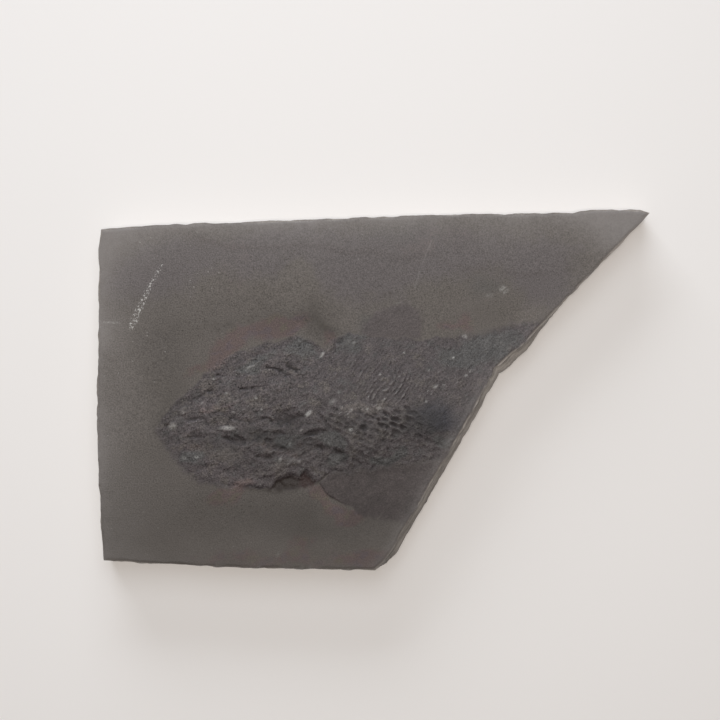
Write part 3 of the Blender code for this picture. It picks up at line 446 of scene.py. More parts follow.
@dataclass(frozen=True)
class Fish:
    """The fish, as relief over the bedding plane: skull, scaled body and tangled belly.

    Its surface comes as two values: a height in millimetres, and a tone that is 0 for plain bone,
    down to -1 in black gaps and up to 1 on pale rubbed ridges.

    Attributes:
        step: Height of its edge over the bedding plane.
        swell: Further rise to the middle of the flank.
        plate_rise: Height of the broken plates of the skull.
        mark_share: Share of their full depth or height that the seams and bones have.
        scale_rise: Height of the scales on the back.
        shallow_pit: Depth of the pits between the ridges of the flank.
        deep_pit: Their depth at the deepest place.
        strand_rise: Height of the tangled scales of the belly.
    """

    step: float = 0.50
    swell: float = 0.80
    plate_rise: float = 0.13
    mark_share: float = 0.36
    scale_rise: float = 0.10
    shallow_pit: float = 0.10
    deep_pit: float = 0.30
    strand_rise: float = 0.13
    back_rows: ScaleRows = ScaleRows((14.0, 55.0), 36, 1.9, 2.3)
    flank_rows: ScaleRows = ScaleRows((-23.0, 65.0), 37, 3.4, 2.05)

    def wandered(self, x: Array, y: Array) -> tuple[Array, Array]:
        """The same places, shifted so that straight lines come out ragged."""
        shift_x = 0.45 * Lumps(3.1, 11).at(x, y) + 0.32 * Lumps(1.4, 17).at(x, y)
        shift_y = 0.45 * Lumps(3.3, 13).at(x, y) + 0.32 * Lumps(1.5, 18).at(x, y)
        return x + shift_x + 0.2 * Lumps(0.8, 19).at(x, y), y + shift_y + 0.2 * Lumps(0.8, 20).at(x, y)

    def cover(self, x: Array, y: Array) -> tuple[Array, Array]:
        """How far each place is on the fish, from 0 to 1, and its distance in from the outline."""
        inside = depth_inside(*self.wandered(x, y), FISH_OUTLINE)
        blurred = 1.8 * smoothstep(12.0, 34.0, x) + 0.6 * Lumps(5.0, 16).at(x, y)
        blurred += 1.3 * self.on_belly_edge(x, y) + 1.6 * self.on_jaw_edge(x, y)
        return smoothstep(-0.4 - np.maximum(blurred, 0.0), 1.7 + blurred, inside), inside

    def on_belly_edge(self, x: Array, y: Array) -> Array:
        """1 along the belly behind the hollow, where the fish runs out into its fin, 0 elsewhere."""
        return smoothstep(-16.0, -8.0, x) * smoothstep(-18.0, -22.0, y)

    def on_jaw_edge(self, x: Array, y: Array) -> Array:
        """1 round the snout and under the jaw, where the bone thins out to the stone, 0 elsewhere."""
        return smoothstep(-36.0, -44.0, x) * smoothstep(-6.0, -16.0, y)

    def skull(self, x: Array, y: Array) -> tuple[Array, Array]:
        """Broken plates, seams, raised bones and hollows of the skull."""
        long_x, long_y = turned(x, y, 16.0)
        plates = self.plate_rise * BrokenPlates(2.1, 21).at(long_x / 2.8, long_y)
        plates += 0.075 * BrokenPlates(0.9, 22, 16.0).at(long_x / 2.4, long_y)
        plates += 0.03 * Lumps(0.8, 23).at(x, y)
        plates *= smoothstep(-13.0, -21.0, x) * (1.0 - 0.45 * GULAR.at(x, y))
        seams = added(SEAMS, x, y) * (0.8 + 0.6 * Lumps(2.4, 26).at(x, y))
        bones = added(BONES, x, y)
        ragged = 0.75 + 0.5 * Lumps(1.0, 27).at(x, y)
        tone = (1.6 * seams + 0.6 * np.minimum(bones, 0.0)) * ragged + 0.25 * np.maximum(bones, 0.0)
        return plates + self.mark_share * (seams + bones), tone + 1.7 * plates

    def scales(self, x: Array, y: Array) -> tuple[Array, Array]:
        """Slanted rows of raised scales on the back, and of pits between ridges on the flank."""
        drift_x = x + 0.9 * Lumps(8.0, 31).at(x, y) + 0.28 * Lumps(2.2, 34).at(x, y)
        drift_y = y + 0.9 * Lumps(7.0, 32).at(x, y) + 0.28 * Lumps(2.0, 35).at(x, y)
        u, v, level = self.back_rows.at(drift_x, drift_y)
        scale = np.sin(pi * u) ** 2 * np.minimum(np.sin(pi * v), 0.7) / 0.7 * (1.0 + 0.8 * level) - 0.45
        scale *= 0.75 + 0.5 * Lumps(1.7, 40).at(x, y)
        u, v, level = self.flank_rows.at(drift_x, drift_y)
        lens = 0.90 * (1.0 - (2.0 * u - 1.0) ** 2) - np.abs(2.0 * v - 1.0)
        pit = smoothstep(0.0, 0.50, lens) * np.clip(0.85 + 0.45 * level, 0.3, 1.2)
        ridge = smoothstep(0.05, -0.40, lens) * (0.8 + 0.5 * level)
        placed = added(FLANK_PITS, x + 0.35 * Lumps(1.6, 28).at(x, y), y + 0.25 * Lumps(1.5, 29).at(x, y))
        around = added(tuple(patch.grown(1.6) for patch in FLANK_PITS), x, y)
        own = smoothstep(0.05, 0.6, around)
        pit = (1.0 - own) * 0.75 * pit + placed
        ridge = (1.0 - own) * 0.75 * ridge + np.clip(around - 1.3 * placed, 0.0, 1.0)
        deep = np.exp(-(((x - 4.5) / 16.0) ** 2 + ((y + 10.0) / 5.8) ** 2))
        middle = -4.6 + 0.06 * x + 1.2 * Lumps(6.0, 38).at(x, y)
        on_flank = np.maximum(smoothstep(middle + 1.2, middle - 1.2, y), own)
        floor = self.shallow_pit + (self.deep_pit - self.shallow_pit) * deep
        bright = np.exp(-(((x - 4.0) / 22.0) ** 2 + (y / 7.0) ** 2))
        height = (1.0 - on_flank) * self.scale_rise * scale - on_flank * pit * floor
        tone = (1.0 - on_flank) * (0.32 + 0.30 * bright) * scale
        tone += on_flank * (0.35 + 0.65 * deep) * (0.45 * ridge - 1.0 * pit)
        return height, tone

    def body(self, x: Array, y: Array) -> tuple[Array, Array]:
        """Scales behind the skull: worn in places, smooth to the tail, tangled on the belly."""
        worn = smoothstep(-0.95, 0.0, Lumps(7.0, 39).at(x, y))
        near_tail = smoothstep(10.0, 30.0, x + 0.4 * y)
        near_back = smoothstep(5.0, 12.0, y + 0.2 * x)
        tangle = smoothstep(-13.0, -17.0, y) * smoothstep(26.0, 16.0, x)
        clear = (0.4 + 0.6 * worn) * (1.0 - 0.75 * near_tail) * (1.0 - 0.45 * near_back)
        clear *= (1.0 - 0.6 * tangle) * (1.0 - 0.9 * DARK_FLANK.at(x, y))
        height, tone = self.scales(x, y)
        long_x, long_y = turned(x, y, -30.0)
        strands = BrokenPlates(1.5, 33, 12.0).at(long_x / 1.7, long_y)
        strands += 0.6 * BrokenPlates(1.0, 24, 16.0).at(x, 0.8 * y)
        chips = (1.0 - tangle) * BrokenPlates(2.2, 48, 12.0).at(long_y / 1.6, long_x)
        height = clear * height + self.strand_rise * tangle * strands + 0.04 * chips
        on_body = smoothstep(-21.0, -13.0, x)
        return on_body * height, on_body * (clear * tone + 0.28 * tangle * strands + 0.2 * chips)

    def surface(self, x: Array, y: Array) -> tuple[Array, Array]:
        """Height of the fish over the bedding plane, and its tone."""
        on_fish, inside = self.cover(x, y)
        step = 1.0 - 0.75 * smoothstep(-4.0, 32.0, x) * smoothstep(-12.0, 10.0, y)
        step *= 1.0 - 0.65 * smoothstep(-14.0, 8.0, y)
        step *= (1.0 - 0.6 * smoothstep(-42.0, -56.0, x)) * (1.0 - 0.5 * self.on_belly_edge(x, y))
        step *= 1.0 - 0.5 * self.on_jaw_edge(x, y)
        step *= self.step * (0.75 + 0.35 * Lumps(6.0, 15).at(x, y))
        skull_height, skull_tone = self.skull(*self.wandered(x, y))
        body_height, body_tone = self.body(x, y)
        height = step + self.swell * smoothstep(0.5, 15.0, inside) + skull_height + body_height
        return on_fish * height, on_fish * (skull_tone + body_tone)


@dataclass(frozen=True)
class Fins:
    """The two fins, which are thin films on the bedding plane.

    Attributes:
        back_rise: Height of the fin on the back.
        belly_rise: Height of the fin on the belly.
    """

    back_rise: float = 0.12
    belly_rise: float = 0.30

    def covers(self, x: Array, y: Array) -> tuple[Array, Array]:
        """How far each place is on the fin of the back, and on the fin of the belly."""
        drift_x = x + 0.35 * Lumps(2.2, 41).at(x, y)
        drift_y = y + 0.35 * Lumps(2.4, 42).at(x, y)
        back = smoothstep(-1.2, 2.2, depth_inside(drift_x, drift_y, BACK_FIN_OUTLINE))
        soft = smoothstep(-10.0, 4.0, x)
        inside = depth_inside(drift_x, drift_y, BELLY_FIN_OUTLINE)
        return back, smoothstep(-0.15 - 2.4 * soft, 0.45 + 2.4 * soft, inside)

    def relief(self, x: Array, y: Array) -> Array:
        """Height of the fins over the bedding plane."""
        back, belly = self.covers(x, y)
        return self.back_rise * back + self.belly_rise * belly * smoothstep(-6.0, -16.0, x)


@dataclass(frozen=True)
class UpperFace:
    """The whole upper face: bare bedding plane, fish, fins and the hollow under the belly.

    Attributes:
        fish: The fish.
        fins: Its two fins.
        hollow_floor: Floor of the hollow, over the bedding plane.
        split_step: Height of the thin bed lost above the fish.
        map_step: Spacing of the places at which its heights are compared.
    """

    fish: Fish = Fish()
    fins: Fins = Fins()
    hollow_floor: float = -0.30
    split_step: float = 0.16
    map_step: float = 0.25

    def bedding(self, x: Array, y: Array) -> Array:
        """Slow swells of the bare plane, and the edge of a thin bed lost above the fish."""
        height = 0.22 * Lumps(34.0, 51).at(x, y) + 0.10 * Lumps(11.0, 52).at(x, y)
        split = 42.0 - 0.10 * x + 2.4 * Lumps(9.0, 53).at(x, y) - y
        reach = smoothstep(-0.2, 0.3, Lumps(40.0, 54).at(x, y))
        return height - self.split_step * smoothstep(-0.8, 0.8, split) * reach

    def in_hollow(self, x: Array, y: Array) -> Array:
        """How far each place is in the hollow under the belly, from 0 to 1."""
        drift_x = x + 0.8 * Lumps(2.4, 43).at(x, y) + 0.45 * Lumps(1.1, 46).at(x, y)
        drift_y = y + 0.8 * Lumps(2.6, 44).at(x, y) + 0.45 * Lumps(1.1, 47).at(x, y)
        return smoothstep(-0.8, 1.3, depth_inside(drift_x, drift_y, HOLLOW_OUTLINE))

    def relief(self, x: Array, y: Array) -> Array:
        """Height of the face over the level of its bedding plane."""
        height = np.maximum(self.fish.surface(x, y)[0], self.fins.relief(x, y)) + self.bedding(x, y)
        floor = self.hollow_floor + 0.15 * Lumps(1.6, 45).at(x, y)
        return height + self.in_hollow(x, y) * (floor - height)

    def cavities(self, x: Array, y: Array, radii: tuple[float, ...]) -> list[Array]:
        """How far each place lies below its surroundings, in millimetres, negative on ridges.

        Args:
            x: Places along X.
            y: Places along Y.
            radii: How far away the surroundings are taken, once for each answer.

        Returns:
            The depths, for each radius.
        """
        low_x, low_y, step = x.min() - 3.0, y.min() - 3.0, self.map_step
        across = np.arange(low_x, x.max() + 3.0, step)
        along = np.arange(low_y, y.max() + 3.0, step)
        height = self.relief(*np.meshgrid(across, along))
        found = []
        for radius in radii:
            depth = evened(height, max(1, round(radius / step))) - height
            column, row = (x - low_x) / step, (y - low_y) / step
            left, low = column.astype(int), row.astype(int)
            part_x, part_y = column - left, row - low
            near = depth[low, left] * (1.0 - part_x) + depth[low, left + 1] * part_x
            far = depth[low + 1, left] * (1.0 - part_x) + depth[low + 1, left + 1] * part_x
            found.append(near * (1.0 - part_y) + far * part_y)
        return found


class Layer(Enum):
    """What is painted on the stone, each kept as an attribute of its mesh."""

    FOSSIL = "fossil"
    BACK_FIN = "back_fin"
    BELLY_FIN = "belly_fin"
    HOLLOW = "hollow"
    CAVITY = "cavity"
    RUST = "rust"
    SMUDGE = "smudge"
    SPECKS = "specks"
    # Partly rubbed stone powder, partly painted sheen, and painted light along the rim
    DUST = "dust_and_painted_light"
    PALE = "pale"
    LIGHT = "light"
    ENAMEL = "enamel"
    SLATE = "slate"
    WORN = "worn"
    MAUVE = "mauve"
    SHADE = "shade"
    BROKEN = "broken"


STAINS: dict[Layer, tuple[Patch, ...]] = {
    Layer.RUST: (
        Patch(-54.5, 6.8, 4.5, 2.4, 42.0, 0.9),
        Patch(-47.5, 11.0, 6.0, 3.0, 42.0, 1.0),
        Patch(-40.5, 16.4, 6.0, 3.0, 30.0, 1.0),
        Patch(-29.6, 19.4, 7.0, 3.0, 12.0, 1.1),
        Patch(-23.0, 20.4, 5.0, 3.0, 10.0, 1.0),
        Patch(-13.6, 16.0, 3.0, 1.8, -20.0, 1.0),
        Patch(-15.8, -32.8, 4.5, 2.8, -52.0, 1.4),
        Patch(-10.8, -38.2, 5.5, 3.0, -32.0, 1.4),
        Patch(-6.0, -39.4, 3.5, 2.2, -10.0, 1.3),
        Patch(-45.0, -32.6, 8.0, 2.4, 20.0, 1.2),
        Patch(28.0, 20.9, 3.6, 2.6, -12.0, 0.9),
        Patch(22.5, 19.7, 3.2, 1.8, -12.0, 0.8),
        Patch(-2.0, -51.6, 10.0, 3.4, 0.0, 0.8),
        Patch(-30.0, -51.9, 26.0, 3.0, 0.0, 0.65),
        Patch(-22.5, -46.6, 5.0, 2.6, 10.0, 0.8),
        Patch(-49.0, -5.5, 8.0, 2.4, 12.0, 0.6),
        Patch(-54.0, -17.5, 6.0, 2.0, 0.0, 0.5),
        Patch(-40.0, -28.5, 7.0, 1.6, 0.0, 0.6),
        Patch(-28.0, -18.0, 9.0, 5.0, 0.0, 0.4),
        Patch(18.0, 46.0, 16.0, 5.0, 5.0, 0.35),
        Patch(-42.0, 40.0, 9.0, 14.0, 0.0, 0.25),
    ),
    Layer.SMUDGE: (
        Patch(-18.6, 24.4, 7.0, 2.8, -58.0, 0.56),
        Patch(-13.9, 18.2, 5.0, 2.2, -42.0, 0.68),
        Patch(4.9, 30.5, 2.3, 0.4, 0.0, 1.3),
        Patch(-29.5, 37.0, 9.0, 1.6, 60.0, 0.4),
        Patch(-41.5, 20.6, 8.0, 1.2, 27.0, 0.6),
        Patch(-50.0, 19.6, 5.0, 2.2, 22.0, 0.5),
        Patch(-36.5, 22.0, 3.0, 1.5, 70.0, 0.5),
        Patch(-61.0, 0.6, 7.0, 2.8, 46.0, 0.5),
        Patch(-64.5, -22.0, 8.0, 3.0, -60.0, 0.4),
        Patch(34.0, 24.0, 8.0, 3.0, 10.0, 0.35),
        Patch(-43.0, -35.0, 12.0, 3.5, 0.0, 0.3),
    ),
    Layer.SPECKS: (
        Patch(-25.5, 40.0, 12.0, 2.3, 54.0, 1.3),
        Patch(-31.5, 31.0, 8.0, 2.6, 60.0, 1.1),
        Patch(-18.4, 24.4, 8.0, 2.8, -58.0, 1.6),
        Patch(-13.6, 18.4, 5.0, 2.6, -40.0, 1.6),
        Patch(-22.5, 27.0, 4.0, 1.6, 60.0, 1.2),
        Patch(-64.0, 8.0, 6.0, 16.0, 30.0, 0.3),
        Patch(-31.0, 31.0, 5.0, 3.0, 40.0, 0.6),
        Patch(-37.0, 22.2, 3.4, 1.4, 66.0, 0.8),
        Patch(-45.0, 20.0, 8.0, 1.6, 28.0, 0.8),
        Patch(-52.0, 19.8, 5.0, 2.6, 12.0, 0.9),
        Patch(-44.5, -35.5, 13.0, 4.5, 0.0, 0.6),
        Patch(-18.0, 22.0, 6.0, 4.0, -50.0, 0.7),
        Patch(-40.0, 33.0, 30.0, 14.0, 10.0, 0.35),
        Patch(25.0, 32.0, 26.0, 10.0, 0.0, 0.35),
    ),
    Layer.PALE: (
        Patch(-76.0, 8.0, 16.0, 44.0, 0.0, 1.0),
        Patch(-64.0, 30.0, 18.0, 22.0, 0.0, 0.9),
        Patch(-20.0, 44.0, 60.0, 14.0, 4.0, 0.6),
        Patch(36.0, 30.0, 14.0, 6.0, 10.0, 0.9),
        Patch(-46.0, -44.0, 40.0, 14.0, 0.0, 0.5),
    ),
    Layer.ENAMEL: (
        Patch(3.0, -1.6, 19.0, 4.2, 8.0, 0.55),
        Patch(-10.5, -4.5, 5.0, 4.0, 60.0, 1.1),
        Patch(-25.0, -22.0, 5.0, 2.6, 20.0, 0.9),
        Patch(24.0, 3.0, 9.0, 4.5, 25.0, 0.5),
        Patch(-38.0, 7.5, 9.0, 2.4, 24.0, 0.7),
        Patch(-61.0, -9.0, 4.0, 2.6, 35.0, 0.6),
        Patch(-37.0, -5.0, 8.0, 2.0, 5.0, 0.4),
    ),
    Layer.WORN: (
        Patch(-50.6, 1.0, 3.4, 2.6, 30.0, 0.9),
        Patch(-44.2, -2.8, 3.4, 1.8, 10.0, 0.8),
        Patch(-35.3, -2.8, 2.6, 1.8, 20.0, 0.9),
        Patch(-46.4, -20.0, 8.0, 3.4, -4.0, 0.8),
        Patch(-57.0, -15.6, 5.0, 2.2, -30.0, 0.6),
        Patch(-30.0, -23.4, 4.0, 2.4, 10.0, 0.7),
        Patch(-45.5, -9.6, 3.6, 1.4, 0.0, 0.7),
        Patch(-1.5, -5.2, 10.0, 1.5, 2.0, 1.0),
        Patch(-4.0, -14.0, 5.0, 1.6, -20.0, 0.5),
        Patch(12.0, -23.5, 8.0, 1.6, 4.0, 0.6),
    ),
    Layer.MAUVE: (
        Patch(-22.0, 35.0, 5.0, 8.0, -10.0, -1.2),
        Patch(-66.0, 37.0, 19.0, 10.0, 20.0, 1.0),
        Patch(7.0, 41.5, 54.0, 9.0, 2.0, 1.0),
        Patch(-2.0, 32.0, 18.0, 8.0, 0.0, 0.6),
        Patch(53.0, 34.0, 11.0, 11.0, 40.0, 0.9),
        Patch(-30.0, 44.0, 20.0, 8.0, 4.0, 0.7),
    ),
    Layer.SHADE: (
        Patch(-15.0, -39.0, 28.0, 8.0, 0.0, -0.50),
        Patch(-40.0, -49.5, 45.0, 4.0, 0.0, 0.15),
        Patch(5.0, 10.0, 20.0, 5.0, 8.0, -0.08),
        Patch(-30.0, 20.0, 14.0, 4.0, 15.0, -0.10),
        Patch(-40.0, 26.0, 12.0, 5.0, 0.0, -0.14),
        Patch(0.0, 22.0, 22.0, 7.0, 0.0, -0.10),
        Patch(3.0, -9.5, 12.0, 3.6, -4.0, -0.12),
        Patch(-26.0, -15.5, 10.0, 5.0, 0.0, -0.50),
        Patch(-42.0, -15.0, 7.0, 3.0, 0.0, -0.35),
        Patch(-68.0, 12.0, 7.0, 18.0, 0.0, -0.18),
        Patch(-63.5, -11.0, 4.0, 6.0, 0.0, -0.30),
        Patch(-50.0, -4.5, 6.0, 2.5, 0.0, 0.35),
        Patch(-47.0, -24.5, 7.0, 3.0, -5.0, 0.40),
        Patch(-40.0, -28.0, 12.0, 3.0, 0.0, 0.30),
        Patch(-28.0, -25.0, 6.0, 3.0, 0.0, 0.25),
        Patch(34.0, 4.0, 5.0, 5.0, 45.0, 0.35),
        Patch(-58.0, 12.0, 12.0, 12.0, 0.0, -0.22),
        Patch(-50.0, -36.0, 20.0, 6.0, 0.0, -0.18),
        Patch(-27.0, 22.0, 10.0, 4.0, 10.0, -0.28),
        Patch(-15.0, 21.0, 6.0, 5.0, -50.0, -0.20),
        Patch(48.0, 22.0, 6.0, 3.0, 45.0, 0.35),
        Patch(18.5, -8.8, 8.6, 5.0, -10.0, -0.90),
        # Painted light inside the rim of the lower slanted break, lifting the shade of its downturned slope
        Patch(21.8, -24.2, 12.0, 2.4, 59.0, 0.5),
        Patch(-4.0, 36.0, 18.0, 14.0, 0.0, -0.07),
        Patch(29.0, -10.0, 6.0, 2.0, 59.0, -0.2),
        Patch(-62.5, 5.0, 5.0, 30.0, 0.0, -0.18),
        Patch(-35.5, -14.8, 5.0, 3.0, 0.0, -0.45),
        Patch(-25.6, -5.5, 3.0, 2.0, 0.0, 0.40),
        Patch(-31.7, 1.8, 4.0, 2.5, 0.0, 0.35),
        Patch(-19.4, 20.3, 4.0, 2.5, -50.0, -0.40),
        Patch(-44.0, 20.3, 4.0, 2.5, 20.0, -0.35),
        Patch(-14.0, 16.6, 7.0, 2.5, 0.0, -0.30),
        Patch(-0.9, -16.6, 4.0, 2.0, 0.0, -0.35),
        Patch(-29.6, -31.4, 8.0, 1.6, 0.0, -0.35),
        Patch(-12.5, -36.0, 6.5, 3.6, -45.0, 0.60),
        Patch(-52.0, 22.0, 16.0, 6.0, 20.0, -0.12),
        Patch(-26.6, -9.8, 7.0, 3.4, -5.0, -0.5),
        Patch(-32.3, -14.8, 6.5, 3.0, -10.0, -0.7),
        Patch(-22.0, -16.8, 5.0, 2.6, 0.0, -0.6),
        Patch(-16.0, -12.8, 5.0, 1.8, 5.0, -0.6),
        Patch(-46.0, -17.0, 6.5, 2.0, -5.0, -0.5),
        Patch(-2.5, -23.6, 15.0, 3.6, 3.0, -0.45),
        Patch(14.0, -12.0, 11.0, 4.6, -5.0, -0.5),
        Patch(-6.0, -10.5, 10.0, 3.4, -8.0, -0.5),
        Patch(4.0, -12.5, 14.0, 4.0, 0.0, -0.3),
        Patch(4.0, -0.5, 18.0, 4.5, 8.0, -0.25),
        Patch(-36.0, -24.0, 13.0, 4.0, 5.0, -0.25),
        Patch(-25.4, 5.8, 3.6, 1.6, -20.0, -0.7),
        Patch(-60.0, -5.0, 6.0, 1.6, 42.0, -0.4),
        Patch(-40.0, -12.6, 4.0, 1.0, 0.0, -0.5),
        Patch(40.0, 16.0, 10.0, 5.0, 25.0, 0.18),
        Patch(-59.0, -12.4, 5.5, 2.2, 0.0, 0.45),
        Patch(-38.0, -25.8, 15.0, 3.6, 0.0, 0.35),
        Patch(-54.0, -22.0, 7.0, 4.4, -30.0, 0.35),
        Patch(-21.0, -25.4, 4.0, 3.0, 20.0, 0.35),
        Patch(-1.0, -5.0, 11.0, 1.8, 2.0, 0.6),
    ),
    Layer.SLATE: (
        Patch(35.5, 13.5, 12.0, 5.0, 14.0, 1.0),
        Patch(-22.0, 12.5, 6.0, 3.4, -5.0, 0.8),
        Patch(-34.5, 9.6, 6.0, 2.2, 22.0, 0.7),
        Patch(-7.5, 14.0, 5.0, 2.6, 30.0, 0.8),
        Patch(34.5, 32.0, 6.0, 3.0, -15.0, 0.8),
        Patch(-1.5, 19.5, 3.0, 4.0, 0.0, 0.8),
        Patch(-38.0, 6.6, 5.0, 1.8, 18.0, 0.9),
        Patch(-13.0, -15.6, 5.0, 2.4, -10.0, 1.5),
        Patch(-11.4, -21.2, 3.6, 2.0, 10.0, 1.1),
        Patch(3.0, -21.0, 3.6, 1.6, 10.0, 1.1),
        Patch(7.6, -19.8, 3.6, 1.4, 25.0, 1.2),
        Patch(-26.8, -15.4, 3.0, 1.8, 0.0, 1.0),
        Patch(-55.3, -20.9, 4.0, 1.8, 0.0, 1.2),
        Patch(22.0, -15.0, 4.5, 1.8, -15.0, 1.0),
        Patch(26.0, 9.8, 8.0, 4.0, 0.0, 0.7),
        Patch(79.0, 51.0, 7.0, 4.0, 30.0, 0.5),
        Patch(12.0, 48.5, 14.0, 4.0, 0.0, 0.4),
    ),
}
# Painted glints: bright white spots on bone and enamel
LIGHT_SPOTS = (
    Patch(-44.6, -11.6, 2.3, 0.7, 0.0, 0.9),
    Patch(-61.6, -11.3, 1.3, 0.9, 20.0, 0.9),
    Patch(-19.8, -7.2, 1.3, 0.6, 42.0, 1.5),
    Patch(-28.5, -21.3, 0.68, 0.48, 60.0, 0.99),
    Patch(-15.7, 10.8, 1.0, 0.45, 55.0, 1.4),
    Patch(-35.9, -2.3, 0.51, 0.4, 0.0, 0.9),
    Patch(-34.2, -5.9, 0.42, 0.32, 0.0, 0.81),
    Patch(-42.8, -6.8, 0.51, 0.32, 0.0, 0.63),
    Patch(-45.0, -0.9, 0.51, 0.32, 20.0, 0.72),
    Patch(-48.8, 3.4, 0.59, 0.32, 20.0, 0.99),
    Patch(-37.9, 7.0, 1.7, 0.5, 20.0, 0.45),
    Patch(-57.9, -20.8, 0.6, 0.5, 0.0, 0.9),
    Patch(-54.2, -20.5, 0.7, 0.4, 0.0, 1.1),
    Patch(-10.5, -0.6, 0.51, 0.32, 45.0, 0.81),
    Patch(-6.8, -6.2, 0.59, 0.4, 45.0, 0.9),
    Patch(-1.8, -5.8, 0.59, 0.32, 45.0, 0.81),
    Patch(-6.8, -12.0, 0.68, 0.56, 0.0, 0.99),
    Patch(2.2, 4.8, 0.42, 0.32, 0.0, 0.81),
    Patch(9.5, 11.4, 0.42, 0.32, 0.0, 0.99),
    Patch(28.0, 16.6, 0.68, 0.4, 30.0, 0.99),
    Patch(24.6, 9.9, 0.34, 0.32, 0.0, 1.44),
    Patch(19.1, 1.2, 0.9, 0.6, 20.0, 0.7),
    Patch(16.3, -3.4, 0.51, 0.32, 30.0, 0.81),
    Patch(28.6, 4.6, 0.68, 0.4, 30.0, 0.72),
    Patch(29.9, 5.9, 0.51, 0.32, 30.0, 0.63),
    Patch(7.9, 4.3, 0.42, 0.32, 0.0, 0.63),
    Patch(20.3, 5.5, 0.42, 0.32, 0.0, 0.72),
    Patch(-5.9, 14.6, 0.51, 0.32, 30.0, 0.54),
    Patch(-31.5, -10.0, 0.42, 0.32, 0.0, 0.54),
    Patch(-22.0, -12.2, 0.59, 0.32, 20.0, 0.54),
    Patch(-25.5, -16.5, 0.68, 0.4, 60.0, 0.54),
    Patch(-52.5, -4.0, 0.51, 0.32, 30.0, 0.54),
    Patch(-12.5, -3.5, 1.2, 0.7, 30.0, 0.5),
    Patch(1.9, -5.5, 0.68, 0.4, 20.0, 0.72),
    Patch(39.6, 31.2, 0.9, 0.4, 60.0, 1.0),
    Patch(40.3, 29.8, 0.51, 0.32, 0.0, 0.81),
    Patch(35.2, 29.3, 1.2, 0.35, -20.0, 0.6),
    Patch(7.4, 26.9, 0.42, 0.24, 0.0, 0.9),
    Patch(-62.4, 25.2, 0.42, 0.24, 0.0, 0.81),
    Patch(-27.6, -50.0, 1.6, 0.2, 10.0, 0.5),
    Patch(-3.0, -46.2, 1.2, 0.3, 0.0, 0.6),
)



